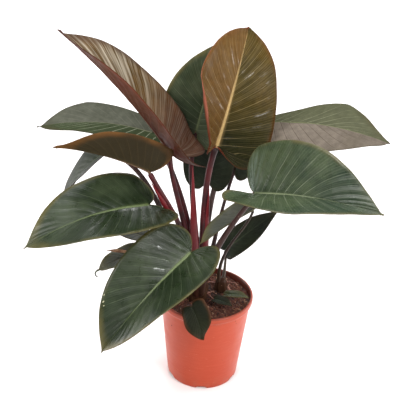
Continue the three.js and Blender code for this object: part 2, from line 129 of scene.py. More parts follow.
# Leaves, in millimetres and degrees: where the petiole meets the blade, where the tip is, the flat width and
# how the blade is bent. Left and right are as seen from the petiole, with the upper face up.
LEAVES = {
    "leaf_upright_bronze": dict(
        base=(5, 15, 643), tip=(66, 130, 893), width=222, flare_right=0.14, roll=36, fold_left=14,
        fold_right=4, base_fold_left=42, curl_left=30, curl_right=-12, arch=0.07, lobe_left=0.5,
        lobe_right=0.75, full=0.6, rolled_edge=125, tone="bronze", slot="leaf_bronze",
        petiole=dict(root=(-12, 6, 236), arrive=20, radius=7.5),
    ),
    "leaf_upright_green": dict(
        base=(-44, 85, 648), tip=(2, 150, 850), width=190, roll=36, fold_left=8, fold_right=8,
        tone="moss", petiole=dict(root=(-22, 20, 236), arrive=20),
    ),
    "leaf_bronze_upper_left": dict(
        base=(-102, -10, 633), tip=(-340, -60, 925), width=190, roll=-4, fold_left=28, fold_right=44,
        arch=0.03, lobe_lift=38, tone="red", slot="leaf_red",
        petiole=dict(root=(-34, -2, 236), arrive=35),
    ),
    "leaf_bronze_left": dict(
        base=(-146, -60, 606), tip=(-345, -140, 692), width=164, base_fold_left=14, roll=22,
        fold_left=45, fold_right=8, arch=0.04, lobe_lift=25, tone="olive", slot="leaf_red",
        petiole=dict(root=(-36, 4, 236), arrive=45, rise=0.5, lean=(-0.1, 0.12, 1)),
    ),
    "leaf_green_left_back": dict(
        base=(-150, 90, 636), tip=(-425, 80, 640), width=166, flare_right=-0.5, roll=-10, fold_left=12,
        fold_right=12, arch=0.08, tone="shaded",
        petiole=dict(root=(-32, 22, 236), arrive=60),
    ),
    "leaf_green_hanging_left": dict(
        base=(-256, 66, 594), tip=(-372, 60, 405), width=150, fold_left=12, fold_right=12, arch=0.1,
        tone="dark", petiole=dict(root=(-40, 8, 236), arrive=80, lean=(-0.35, 0, 1), shade="brown"),
    ),
    "leaf_green_left": dict(
        base=(-145, -60, 518), tip=(-410, -200, 470), width=200, roll=-14, fold_right=14, lobe_right=0.5,
        arch=0.1, tone="green",
        petiole=dict(root=(-40, -6, 236), arrive=70, lean=(-0.3, 0.1, 1)),
    ),
    "leaf_small_grey_left": dict(
        base=(-165, 40, 372), tip=(-290, 50, 385), width=80, tone="grey",
        petiole=dict(root=(-44, 14, 236), arrive=70, radius=3.2, lean=(-0.7, 0, 1)),
    ),
    "leaf_small_green_left": dict(
        base=(-174, 30, 327), tip=(-277, 2, 289), width=76, roll=-10, tone="grey",
        petiole=dict(root=(-48, 2, 236), arrive=80, radius=3.2, lean=(-0.8, 0, 1)),
    ),
    "leaf_big_front": dict(
        base=(-42, -90, 413), tip=(-237, -228, 215), width=214, base_fold_left=-14, full=0.9, roll=-28,
        fold_left=43, fold_right=21, arch=0.09, lobe_left=0.9, lobe_right=0.6, tone="green",
        petiole=dict(root=(-24, -16, 236), arrive=80, lean=(0, -0.2, 1)),
    ),
    "leaf_twisted_centre": dict(
        base=(107, 48, 460), tip=(-22, -74, 426), width=84, roll=-6, fold_left=50, fold_right=12,
        arch=0.02, tone="grey", shoot="right",
        petiole=dict(root=(34, 30, 236), arrive=115, rise=0.5, radius=3.2, lean=(-0.16, 0, 1), shade="low"),
    ),
    "leaf_dark_lower_right": dict(
        base=(45, 84, 317), tip=(170, 88, 436), width=68, roll=52, lobe_left=0.35, lobe_right=0.35,
        fold_left=8, fold_right=8, arch=0.03, tone="dark", slot="leaf_dark", shoot="right",
        petiole=dict(root=(44, 42, 236), arrive=75, radius=3.2, lean=(0, 0.2, 1), shade="low"),
    ),
    "leaf_dark_centre_back": dict(
        base=(-10, 105, 515), tip=(0, 165, 700), width=130, tone="dark", slot="leaf_dark",
        petiole=dict(root=(-10, 28, 236), arrive=30, radius=4.5),
    ),
    "leaf_dark_right_back": dict(
        base=(60, 154, 524), tip=(132, 222, 642), width=110, roll=20, tone="dark", slot="leaf_dark",
        petiole=dict(root=(-6, 24, 236), arrive=30, radius=4.5, lean=(0.15, 0.2, 1), shade="brown"),
    ),
    "leaf_green_upper_right": dict(
        base=(124, 136, 658), tip=(404, 14, 672), width=212, flare_right=-0.22, flare_left=-0.8,
        lobe_left=0.3, roll=4, fold_left=14, fold_right=-14, tone="ashen",
        petiole=dict(
            root=(-14, 14, 236), arrive=35, rise=0.5, bend=0.4, lean=(0.04, 0.1, 1), shade="brown"
        ),
    ),
    "leaf_green_right": dict(
        base=(98, -60, 562), tip=(355, -240, 622), width=244, roll=32, fold_left=38, fold_right=36,
        base_fold_right=8, arch=0.07, lobe_left=0.45, lobe_right=0.72, lobe_lift=52, tone="sage",
        petiole=dict(
            root=(-14, -14, 236), arrive=60, rise=0.5, bend=0.12, lean=(0, -0.32, 1), shade="brown"
        ),
    ),
    "leaf_small_over_rim": dict(
        base=(-35, -128, 284), tip=(-3, -152, 205), width=92, fold_right=4, fold_left=4,
        lobe_right=0.5, lobe_left=0.5, full=0.9, small=True, tone="rim", slot="leaf_dark", shoot="front_1",
        petiole=dict(root=(-17, -69, 216), arrive=80, radius=2.2, lean=(0, 0.1, 1)),
    ),
    "leaf_young_on_soil": dict(
        base=(52, -20, 250), tip=(108, -34, 252), width=26, roll=10, arch=0.08, wave=1, small=True,
        tone="green", shoot="soil_1", petiole=dict(root=(40, -10, 216), arrive=70, radius=1.8, shade="brown"),
    ),
    "leaf_young_dark_on_soil": dict(
        base=(24, -38, 246), tip=(66, -62, 244), width=30, roll=10, arch=0.08, wave=1, small=True,
        tone="dark", slot="leaf_dark", shoot="soil_2",
        petiole=dict(root=(20, -24, 216), arrive=70, radius=1.8),
    ),
}

# Red sheaths that new leaves came out of: root, point and largest radius.
SHEATHS = [
    dict(root=(-28, -8, 240), tip=(-48, -12, 606), radius=13),
    dict(root=(-10, -2, 240), tip=(-6, 4, 545), radius=10),
]

# Short sheath held against the petiole of the lower bronze leaf: part of that line in 200ths, and its shift.
HELD_SHEATH = dict(leaf="leaf_bronze_left", first=118, last=188, aside=Vector((-6, -5, -2)), radius=7)

# Short stems that the petioles grow from: place, radius and height above the floor.
STUMPS = {
    "main": dict(at=(-24, 4), radius=30, top=272),
    "right": dict(at=(38, 36), radius=16, top=262),
}

# Curl beyond the small leaf's tip, from the tip, and the dry strip from above that leaf to its petiole.
TIP_CURL = [(7, 1, 1), (-6, 0, -1), (-11, -1, -16), (3, -2, -20)]
DRY_STRIP = [Vector(place) for place in ((-254, 2, 350), (-222, 8, 347), (-190, 14, 341), (-173, 30, 326))]

# Scars on the big front leaf: place round the margin, place across and size in millimetres.
SCARS = [(0.71, 0.93, 4.4), (0.725, 0.89, 2.8), (0.69, 0.96, 2.0)]

# Thin roots on the mix: start x and y, heading in degrees and length.
ROOTLETS = [
    (-43, 34, -37, 90), (-28, -32, 73, 88), (-48, 6, -63, 40), (-3, 60, -6, 45), (39, 54, -52, 51),
    (12, 71, -43, 64), (-17, -27, 60, 69), (49, 69, -27, 38), (6, -21, 26, 45), (-24, 44, -30, 51),
    (60, 20, 100, 40), (-50, 20, 160, 44), (-20, 40, 120, 50), (30, 66, 20, 34), (-64, -10, 250, 36),
]

# Crumbs of mix stuck to the pot: angle round it in degrees, height and radius.
POT_SPECKS = [
    (222, 185, 1.7), (312, 214, 1.2), (314, 206, 1.0), (300, 92, 0.7), (251, 60, 0.6), (20, 150, 1.1),
]


def tint(red, green, blue):
    """Linear colour from the 0-255 values of a screen colour."""
    linear = [((c / 255 + 0.055) / 1.055) ** 2.4 if c > 10 else c / 3294.6 for c in (red, green, blue)]
    return (*linear, 1.0)


# Leaf finishes, with colours as the screen shows them: the upper face, its blotches, veins, rib and edge, and
# the underside. Some also have the left half (left, left_vein), the part near the petiole (low,
# painted_sheen), wet streaks (coat), the margins of the underside (far_under) or a glow along one of them
# (band). The sage leaf's pale blue-grey patch near the petiole is painted sheen, the band is a painted glow,
# the pale streaks between the veins (stripe) are painted sheen, and on the bronze leaf the low colour is
# partly painted shade.
TONES = {
    "green": dict(
        upper=(26, 37, 20), patch=(50, 60, 41), vein=(112, 124, 98), rib=(92, 106, 64), edge=(84, 78, 38),
        under=(66, 62, 44), under_vein=(98, 78, 58), vein_strength=0.36, stripe=0.04, shine=0.3, relief=0.5,
        rib_size=0.9, gloss=0.3, coat=0.7, fine=0.06,
    ),
    "moss": dict(
        upper=(42, 53, 34), patch=(60, 68, 48), vein=(116, 124, 98), rib=(74, 84, 54), edge=(88, 80, 40),
        under=(66, 62, 44), under_vein=(98, 78, 58), vein_strength=0.5, stripe=0.08, shine=0.4, relief=0.5,
        rib_size=0.7, gloss=0.2,
    ),
    "sage": dict(
        upper=(30, 46, 30), patch=(60, 72, 49), vein=(144, 152, 128), rib=(98, 108, 78), edge=(86, 80, 50),
        under=(66, 62, 44), under_vein=(98, 78, 58), vein_strength=0.55, stripe=0.09, shine=0.28, relief=0.7,
        rib_size=0.6, gloss=0.36, coat=0.6, painted_sheen=(120, 134, 128),
    ),
    # The shaded tone's grey upper and patch colours, on its right half, are a painted sheen; its gloss is 0,
    # so the blade has no reflection of its own.
    "shaded": dict(
        upper=(82, 84, 74), left=(44, 54, 32), patch=(72, 74, 64), vein=(98, 98, 86),
        left_vein=(150, 154, 132), rib=(92, 94, 74), edge=(60, 58, 42), under=(52, 50, 36),
        under_vein=(84, 70, 54), vein_strength=1.0, stripe=0.03, shine=0.46, relief=0.3, rib_size=0.5,
        gloss=0, fine=0.03,
    ),
    "dark": dict(
        upper=(30, 36, 28), patch=(38, 45, 32), vein=(66, 74, 58), rib=(58, 68, 46), edge=(44, 40, 26),
        under=(40, 36, 28), under_vein=(64, 52, 40), vein_strength=0.5, stripe=0.04, shine=0.42, relief=0.4,
        rib_size=0.75, gloss=0.12,
    ),
    "rim": dict(
        upper=(16, 20, 9), patch=(24, 27, 13), vein=(44, 50, 32), rib=(26, 32, 18), edge=(78, 48, 28),
        under=(40, 34, 22), under_vein=(60, 46, 32), vein_strength=0.4, stripe=0.05, shine=0.5, relief=0.4,
        rib_size=0.75, gloss=0.04,
    ),
    "grey": dict(
        upper=(64, 66, 55), patch=(28, 40, 22), vein=(96, 96, 82), rib=(94, 92, 70), edge=(78, 74, 36),
        under=(62, 54, 42), under_vein=(92, 74, 58), vein_strength=0.45, stripe=0.06, shine=0.4, relief=0.5,
        rib_size=0.7, gloss=0.3,
    ),
    "ashen": dict(
        upper=(103, 95, 86), left=(66, 70, 50), patch=(90, 83, 73), vein=(46, 38, 29),
        left_vein=(126, 130, 106), rib=(98, 102, 76), edge=(70, 66, 48), under=(70, 62, 48),
        under_vein=(92, 74, 58), vein_strength=0.95, stripe=0.05, shine=0.48, relief=0.7, rib_size=0.55,
        gloss=0,
    ),
    "bronze": dict(
        upper=(48, 41, 15), left=(86, 60, 29), patch=(66, 52, 19), vein=(160, 142, 100), rib=(176, 148, 100),
        edge=(96, 52, 28), under=(92, 38, 22), far_under=(160, 96, 78), under_vein=(140, 66, 46),
        low=(24, 28, 13), vein_strength=0.4, stripe=0.1, shine=0.3, relief=0.6, rib_size=1.0, gloss=0.05,
        coat=1.0, fine=0.07,
    ),
    # The red tone's strong pale streaks between the veins are painted sheen, with its gloss kept low.
    "red": dict(
        upper=(66, 48, 18), patch=(86, 62, 31), vein=(176, 168, 150), rib=(92, 50, 38), edge=(58, 38, 28),
        low=(80, 50, 36), under=(66, 27, 19), far_under=(98, 42, 27), under_vein=(92, 46, 34),
        vein_strength=0.25, stripe=0.75, shine=0.4, relief=0.7, rib_size=0.5, gloss=0.1,
    ),
    "olive": dict(
        upper=(46, 40, 24), patch=(84, 56, 26), vein=(92, 76, 46), rib=(84, 62, 42), edge=(92, 62, 30),
        under=(40, 34, 20), under_vein=(60, 50, 30), vein_strength=0.5, stripe=0.16, shine=0.42, band=0.45,
        relief=0.5, rib_size=0.6, gloss=0.2,
    ),
}


class PlantSettings(bpy.types.PropertyGroup):
    """Sizes and colours of the plant, its pot and the stage."""

    blade_thickness: bpy.props.FloatProperty(
        name="Blade thickness", description="Thickness of a leaf blade", default=1.1 * MM, min=0.6 * MM,
        unit="LENGTH",
    )
    vein_relief: bpy.props.FloatProperty(
        name="Vein relief", description="How far a blade swells between its side veins", default=0.8 * MM,
        unit="LENGTH",
    )
    vein_count: bpy.props.IntProperty(
        name="Side veins", description="Side veins in each half of a large leaf", default=20, min=4
    )
    blade_rows: bpy.props.IntProperty(
        name="Blade rows", description="Rows of faces round half of a large blade", default=136, min=24
    )
    blade_columns: bpy.props.IntProperty(
        name="Blade columns", description="Columns of faces across a large blade", default=40, min=8
    )
    petiole_colour: bpy.props.FloatVectorProperty(
        name="Petiole", description="Colour of the leaf stalks", default=tint(36, 17, 18), size=4,
        subtype="COLOR",
    )
    sheath_colour: bpy.props.FloatVectorProperty(
        name="Sheath", description="Colour of the pointed sheaths", default=tint(98, 18, 24), size=4,
        subtype="COLOR",
    )
    pot_colour: bpy.props.FloatVectorProperty(
        name="Pot", description="Colour of the pot's plastic", default=tint(164, 57, 24), size=4,
        subtype="COLOR",
    )
    mix_colour: bpy.props.FloatVectorProperty(
        name="Potting mix", description="Main colour of the coir in the pot", default=tint(86, 46, 34),
        size=4, subtype="COLOR",
    )
    floor_colour: bpy.props.FloatVectorProperty(
        name="Floor", description="Colour of the floor", default=tint(246, 243, 243), size=4,
        subtype="COLOR",
    )
    light_power: bpy.props.FloatProperty(
        name="Light", description="Strength of all the studio lights", default=1, min=0
    )


def settings():
    """The sizes and colours that the panel shows."""
    return bpy.context.scene.philodendron


# Shape of a leaf, shared by its blade, its midrib and the end of its petiole.

FIRST, LAST = Vector(OUTLINE[0]), Vector(OUTLINE[-1])
RAIL = [2 * FIRST - Vector(OUTLINE[1]), *map(Vector, OUTLINE), 2 * LAST - Vector(OUTLINE[-2])]


def outline_at(u):
    """Smooth curve through the outline: (along, across) at u from 0 to 1."""
    spans = len(OUTLINE) - 1
    at = min(max(u, 0), 1) * spans
    i = min(int(at), spans - 1)
    f = at - i
    a, b, c, d = RAIL[i : i + 4]
    return 0.5 * (
        2 * b + (c - a) * f + (2 * a - 5 * b + 4 * c - d) * f * f + (3 * b - a - 3 * c + d) * f**3
    )


def along_rib(u):
    """Where the line across the blade at u starts on the midrib: 0 at the petiole, 1 at the tip."""
    return max(0, (u - FIRST_RISE) / (1 - FIRST_RISE)) ** RISE_POWER


class Leaf:
    """A leaf of the table with its own directions, in millimetres."""

    def __init__(self, name, words):
        self.name = name
        for key, value in {**LEAF_DEFAULTS, **words}.items():
            setattr(self, key, value)
        self.petiole = {**PETIOLE_DEFAULTS, **words["petiole"]}
        self.base, self.tip = Vector(self.base), Vector(self.tip)
        self.chord = self.tip - self.base
        self.length = self.chord.length
        self.along = self.chord.normalized()
        level = Vector((0, 0, 1))
        level = (level - self.along * level.dot(self.along)).normalized()
        side = self.along.cross(level)
        roll = math.radians(self.roll)
        self.normal = level * math.cos(roll) + side * math.sin(roll)
        self.across = side * math.cos(roll) - level * math.sin(roll)

    def half_width(self, u):
        """Flat distance from the midrib to the margin."""
        return max(0, outline_at(u).y) ** self.full * self.width / 2

    def rib_radius(self, a):
        """Radius of the midrib at a share of the way to the tip."""
        thick = 0.72 * self.petiole["radius"] * TONES[self.tone]["rib_size"] * (1 - a) ** 1.5
        return (0.3 + thick) * (0.8 if self.small else 1)

    def point(self, u, v):
        """Point of the middle surface: u runs round the margin, v from -1 to 1 across the blade."""
        reach, right = abs(v), v > 0
        margin = outline_at(u)
        margin_across = max(0, margin.y) ** self.full
        root = along_rib(u)
        lobe = self.lobe_right if right else self.lobe_left
        edge = margin.x * lobe if margin.x < 0 else margin.x
        forward = 0.06 * reach * (1 - reach) if u > FIRST_RISE else 0
        a = root + (edge - root) * reach + forward
        flare = self.flare_right if right else self.flare_left
        w = margin_across * reach * (1 + flare * max(0, 1 - max(a, 0) / FLARE_REACH))
        half = self.width / 2
        fold = self.fold_right if right else self.fold_left
        curl = self.curl_right if right else self.curl_left
        near_base = max(0, 1 - max(a, 0) / BASE_FOLD_REACH)
        base_fold = (self.base_fold_right if right else self.base_fold_left) * near_base
        lift = math.radians(fold + base_fold + 0.5 * curl * w)
        bow = 4 * a * (1 - a) if a > 0 else 4 * a
        lobe_rise = self.lobe_lift * (a / LOBE_REACH) ** 2 if a < 0 else 0
        ripple = self.wave * math.sin(TURN * MARGIN_WAVES * u + (0 if right else 1.7)) * reach**2
        return (
            self.base
            + self.chord * a
            + self.normal * (self.arch * self.length * bow + lobe_rise)
            + self.across * ((1 if right else -1) * half * w * math.cos(lift))
            + self.normal * (half * w * math.sin(lift) + ripple)
        )

    def heading(self):
        """Direction in which the petiole reaches the blade."""
        arrive = math.radians(self.petiole["arrive"])
        return self.along * math.cos(arrive) + self.normal * math.sin(arrive)

    def petiole_line(self, steps):
        """Centre line of the petiole from its root to the underside of the blade."""
        words = self.petiole
        root = Vector(words["root"])
        end = self.base - self.normal * NECK_DROP
        span = (end - root).length
        first = root + Vector(words["lean"]).normalized() * span * words["rise"]
        second = end - self.heading() * span * words["bend"]
        return curve((root, first, second, end), steps)


def bezier(points, t):
    """Point of a Bezier curve with any number of control points."""
    points = list(points)
    while len(points) > 1:
        points = [a.lerp(b, t) for a, b in zip(points, points[1:])]
    return points[0]


def curve(points, steps):
    """Line of points along a Bezier curve."""
    return [bezier(points, i / steps) for i in range(steps + 1)]


def all_leaves():
    """Every leaf of the table."""
    return [Leaf(name, words) for name, words in LEAVES.items()]


# Making pieces.


def placed(name, data):
    """New object of the scene that holds a mesh, a light or a camera."""
    obj = bpy.data.objects.new(name, data)
    bpy.context.scene.collection.objects.link(obj)
    return obj


def piece(name, bm, materials, node, closed=True):
    """Object made of a bmesh whose lengths are in millimetres; it stands for part of a CAD node."""
    if closed:
        bmesh.ops.recalc_face_normals(bm, faces=bm.faces)
    bmesh.ops.transform(bm, matrix=Matrix.Scale(MM, 4), verts=bm.verts)
    mesh = bpy.data.meshes.new(name)
    for face in bm.faces:
        face.smooth = True
    bm.to_mesh(mesh)
    bm.free()
    for material in materials:
        mesh.materials.append(material)
    obj = placed(name, mesh)
    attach(obj, "root")
    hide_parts(node)
    return obj


def spun(profile, sides):
    """Closed bmesh of a profile of (radius, height) points that is spun round the pot's axis."""
    bm = bmesh.new()
    corners = [bm.verts.new((r, 0, z)) for r, z in profile]
    edges = [bm.edges.new(pair) for pair in zip(corners, corners[1:])]
    bmesh.ops.spin(
        bm, geom=corners + edges, cent=(0, 0, 0), axis=(0, 0, 1), angle=TURN, steps=sides, use_merge=True
    )
    bmesh.ops.remove_doubles(bm, verts=bm.verts, dist=1e-3)
    return bm


def turn_frames(line):
    """Two directions across a line at each of its points, turned as little as possible on the way."""
    frames = []
    across = None
    for i in range(len(line)):
        before, after = line[max(i - 1, 0)], line[min(i + 1, len(line) - 1)]
        heading = (after - before).normalized()
        if across is None:
            across = heading.orthogonal()
        across = (across - heading * across.dot(heading)).normalized()
        frames.append((across, heading.cross(across)))
    return frames


def add_stem(bm, line, radius_at, sides, flatten=1, up=None):
    """Closed tapered stem along a line. radius_at(t, turn) gives its radius; it closes where that is 0."""
    steps = len(line) - 1
    uv = bm.loops.layers.uv.verify()
    made = bmesh.ops.create_grid(bm, x_segments=steps, y_segments=sides, size=1)["verts"]
    for vert in made:
        for loop in vert.link_loops:
            loop[uv].uv = ((vert.co.x + 1) / 2, (vert.co.y + 1) / 2)
    frames = turn_frames(line)
    for vert in made:
        row = round((vert.co.x + 1) / 2 * steps)
        turn = (vert.co.y + 1) / 2 * TURN
        first, second = frames[row]
        if up is not None:
            heading = first.cross(second)
            second = (up - heading * up.dot(heading)).normalized()
            first = second.cross(heading)
        radius = radius_at(row / steps, turn)
        out, over = math.cos(turn) * radius, math.sin(turn) * radius * flatten
        vert.co = line[row] + first * out + second * over
    bmesh.ops.remove_doubles(bm, verts=made, dist=1e-4)


def smooth_step(low, high, value):
    """0 below low, 1 above high and a smooth change between them."""
    t = min(max((value - low) / (high - low), 0), 1)
    return t * t * (3 - 2 * t)


def ends_closed(t, share):
    """1 along a stem, falling to 0 over a share of its length at both ends, as a dome does."""
    near = min(t, 1 - t) / share
    return 1 if near >= 1 else math.sqrt(max(0, 1 - (1 - near) ** 2))


def blade_mesh(leaf, rows, columns, veins, relief):
    """Sheet of a blade with swellings between its veins and a shallow valley along the midrib."""
    bm = bmesh.new()
    uv = bm.loops.layers.uv.new("leaf")
    marks = bm.verts.layers.float_vector.new("marks")
    bmesh.ops.create_grid(bm, x_segments=rows, y_segments=columns, size=1)
    across = {}
    for vert in bm.verts:
        reach = abs(vert.co.y) ** 1.3
        across[vert] = ((vert.co.x + 1) / 2, -math.copysign(reach, vert.co.y))
    for face in bm.faces:
        for loop in face.loops:
            u, v = across[loop.vert]
            loop[uv].uv = (u, (v + 1) / 2)
    for vert, (u, v) in across.items():
        vert.co = leaf.point(u, v)
        if v < -ROLL_START and leaf.rolled_edge:
            vert.co = rolled(leaf, u, v)
    bm.normal_update()
    moves = {}
    for vert, (u, v) in across.items():
        reach = abs(v)
        place = (vert.co - leaf.base).dot(leaf.along) / leaf.length
        from_rib = max(reach * leaf.half_width(u), 0)
        rib = leaf.rib_radius(min(max(place, 0), 1))
        beyond = from_rib / rib if place > 0 else 3 + from_rib / rib
        from_margin = (1 - reach) * leaf.half_width(u)
        vert[marks] = (min(beyond, 8) / 8, min(from_margin, 40) / 40, 0)
        swell = -math.cos(TURN * (u - VEIN_SWEEP * reach) * veins) * math.sin(math.pi * reach**0.8) ** 0.8
        drift = noise.noise(vert.co * 0.018) * 1.3 + noise.noise(vert.co * 0.06) * 0.35
        valley = -1.6 * math.exp(-((from_rib / (2.2 * rib)) ** 2)) * smooth_step(-0.02, 0.06, place)
        size = leaf.width / 200
        moves[vert] = vert.normal * ((swell * relief + drift) * size + valley * (1 - along_rib(u)))
    for vert, move in moves.items():
        vert.co += move
    bmesh.ops.remove_doubles(bm, verts=bm.verts, dist=0.02)
    return bm


def rolled(leaf, u, v):
    """Point of a left margin that rolls up over the blade between the petiole and the middle of the leaf."""
    hinge = leaf.point(u, -ROLL_START)
    out = (leaf.point(u, v) - hinge) * ROLL_OUT
    amount = smooth_step(0.08, 0.32, u) * smooth_step(0.7, 0.46, u)
    angle = math.radians(leaf.rolled_edge) * amount * smooth_step(ROLL_START, 1, -v) ** 0.6
    return hinge + out * math.cos(angle) + leaf.normal * (out.length * math.sin(angle))


def rib_line(leaf, steps):
    """Centre line of the midrib: out of the petiole's top and along under the blade."""
    start = leaf.base - leaf.normal * NECK_DROP - leaf.heading() * 7
    line = [start, start.lerp(leaf.base - leaf.normal * 2.4, 0.55)]
    for i in range(steps + 1):
        a = i / steps
        u = FIRST_RISE + (1 - FIRST_RISE) * a ** (1 / RISE_POWER)
        sink = 0.35 * leaf.rib_radius(a) + 1.1 * (1 - a) ** 2
        line.append(leaf.point(u, 0) - leaf.normal * sink)
    return line


class PHILODENDRON_OT_blades(bpy.types.Operator):
    """Build the leaf blades"""

    bl_idname = "philodendron.blades"
    bl_label = "Leaf blades"

    def execute(self, context):
        words = settings()
        finishes = {tone: (leaf_upper(tone), leaf_under(tone)) for tone in TONES}
        for leaf in all_leaves():
            fine = leaf.width > WIDE_LEAF
            rows = words.blade_rows if fine else words.blade_rows * 2 // 3
            columns = words.blade_columns if fine else words.blade_columns * 3 // 5
            relief = words.vein_relief / MM * TONES[leaf.tone]["relief"]
            bm = blade_mesh(leaf, rows, columns, words.vein_count, relief)
            blade = piece(
                f"{leaf.name}_blade", bm, finishes[leaf.tone], leaf.name, closed=False
            )
            shell = blade.modifiers.new("Thickness", "SOLIDIFY")
            shell.thickness = max(0.6 * MM, words.blade_thickness * (0.75 if leaf.small else 1))
            shell.offset = 0
            shell.material_offset = 1
            shell.material_offset_rim = 1
        return {"FINISHED"}


class PHILODENDRON_OT_midribs(bpy.types.Operator):
    """Build the midribs under the blades"""

    bl_idname = "philodendron.midribs"
    bl_label = "Midribs"

    def execute(self, context):
        finishes = {tone: rib_finish(tone) for tone in TONES}
        for leaf in all_leaves():
            line = rib_line(leaf, MIDRIB_STEPS)
            last = len(line) - 1

            def radius(t, turn):
                row = round(t * last)
                if row in (0, last):
                    return 0
                if row == 1:
                    return 0.9 * leaf.petiole["radius"]
                if row == 2:
                    return 0.4 * leaf.petiole["radius"] + 0.5 * leaf.rib_radius(0)
                return leaf.rib_radius((row - 2) / (last - 2))

            bm = bmesh.new()
            add_stem(bm, line, radius, 14, flatten=0.72, up=leaf.normal)
            piece(f"{leaf.name}_midrib", bm, [finishes[leaf.tone]], leaf.name)
        return {"FINISHED"}


class PHILODENDRON_OT_petioles(bpy.types.Operator):
    """Build the petioles from the shoots up to the blades"""

    bl_idname = "philodendron.petioles"
    bl_label = "Petioles"

    def execute(self, context):
        for leaf in all_leaves():
            radius = leaf.petiole["radius"]
            line = leaf.petiole_line(PETIOLE_STEPS)
            root = radius * PETIOLE_ROOT_SWELL

            def radius_at(t, turn):
                body = root + (radius - root) * min(1, 1.6 * t)
                knee = 1 + 0.1 * math.exp(-(((t - 0.965) / 0.025) ** 2))
                ridge = 1 + 0.025 * math.cos(3 * turn + 1) + 0.012 * math.cos(7 * turn)
                groove = 1 - 0.1 * max(0, math.cos(turn)) ** 6
                return body * knee * ridge * groove * ends_closed(t, 0.012)

            bm = bmesh.new()
            add_stem(bm, line, radius_at, 18)
            finish = petiole_finish(leaf.petiole["shade"])
            piece(f"{leaf.name}_petiole", bm, [finish], f"shoot_{leaf.shoot}")
        return {"FINISHED"}


class PHILODENDRON_OT_stems(bpy.types.Operator):
    """Build the short stems that the petioles grow from, and the red sheaths"""

    bl_idname = "philodendron.stems"
    bl_label = "Stems and sheaths"

    def execute(self, context):
        for shoot, words in STUMPS.items():
            x, y = words["at"]
            top, foot = words["top"], SOIL_LEVEL - STEM_DEPTH
            line = [Vector((x, y, foot + (top - foot) * i / 24)) for i in range(25)]

            def radius_at(t, turn):
                scars = 1 + 0.05 * math.cos(9 * TURN * t + 2 * turn) * (1 - t)
                lobes = 1 + 0.08 * math.cos(5 * turn + 3 * t) + 0.03 * math.cos(11 * turn)
                taper = 1 - 0.22 * smooth_step(0.55, 1, t)
                return words["radius"] * 0.95 * scars * lobes * taper * ends_closed(t, 0.16)

            bm = bmesh.new()
            add_stem(bm, line, radius_at, 44)
            piece(f"stem_{shoot}", bm, [petiole_finish("stem")], f"shoot_{shoot}")
        finish = sheath_finish()
        lines = []
        for words in SHEATHS:
            root, tip = Vector(words["root"]), Vector(words["tip"])
            middle = root.lerp(tip, 0.5) + Vector((0, 6, 0))
            lines.append((words["radius"], curve((root, middle, tip), 60)))
        leaf = next(leaf for leaf in all_leaves() if leaf.name == HELD_SHEATH["leaf"])
        held = leaf.petiole_line(200)[HELD_SHEATH["first"] : HELD_SHEATH["last"]]
        lines.append((HELD_SHEATH["radius"], [point + HELD_SHEATH["aside"] for point in held]))
        for i, (thick, line) in enumerate(lines):

            def sheath_radius(t, turn):
                body = 0.85 + 0.375 * t if t < 0.4 else max(0, (1 - t) / 0.6) ** 0.85
                keel = 1 + 0.16 * max(0, math.cos(turn - 1.2)) ** 8
                return thick * body * keel * min(1, t / 0.01)

            bm = bmesh.new()
            add_stem(bm, line, sheath_radius, 20, flatten=0.8)
            piece(f"sheath_{i + 1}", bm, [finish], "shoot_main")
        return {"FINISHED"}


class PHILODENDRON_OT_marks(bpy.types.Operator):
    """Build the curled leaf tip, the dry strip and the scar that the leaves on the left have"""

    bl_idname = "philodendron.marks"
    bl_label = "Leaf tip, dry strip and scar"

    def execute(self, context):
        leaves = {leaf.name: leaf for leaf in all_leaves()}
        small, front = leaves["leaf_small_green_left"], leaves["leaf_big_front"]
        hook = [small.tip + Vector(step) for step in TIP_CURL]
        bm = bmesh.new()
        add_stem(bm, curve(hook, 24), lambda t, turn: 2.7 * (1 - 0.5 * t) * ends_closed(t, 0.08), 12)
        piece("curled_leaf_tip", bm, [rib_finish("dark")], small.name)
        strip = bmesh.new()
        bmesh.ops.create_grid(strip, x_segments=40, y_segments=8, size=1)
        rise = Vector((0, -0.4, 1)).normalized()
        for vert in strip.verts:
            t, v = (vert.co.x + 1) / 2, vert.co.y
            half = 5.2 * smooth_step(-0.06, 0.25, t) * (1 - 0.8 * smooth_step(0.6, 1, t)) + 0.9
            loose = 1 - smooth_step(0.75, 1, t)
            cup = Vector((0, -2.5 * v * v - 1.2 * math.sin(9 * t + v), 1.6 * math.sin(6 * t))) * loose
            vert.co = bezier(DRY_STRIP, t) + rise * (half * v) + cup
        shred = piece("dry_strip", strip, [dry_finish()], small.name, closed=False)
        shell = shred.modifiers.new("Thickness", "SOLIDIFY")
        shell.thickness = 0.7 * MM
        shell.offset = 1
        scar = bmesh.new()
        turn = front.normal.to_track_quat("Z", "Y").to_matrix().to_4x4()
        for u, v, size in SCARS:
            place = Matrix.Translation(front.point(u, v) + front.normal * 0.9)
            shape = Matrix.Diagonal((size * 0.6, size, 0.7, 1))
            made = bmesh.ops.create_icosphere(scar, subdivisions=3, radius=1, matrix=place @ turn @ shape)
            for vert in made["verts"]:
                vert.co += noise.noise_vector(vert.co * 0.5) * 0.7
        piece("scars", scar, [scar_finish()], front.name)
        return {"FINISHED"}


def wall_radius(z):
    """Outer radius of the pot's wall at a height."""
    return POT_BASE_RADIUS + (POT_TOP_RADIUS - POT_BASE_RADIUS) * z / POT_HEIGHT


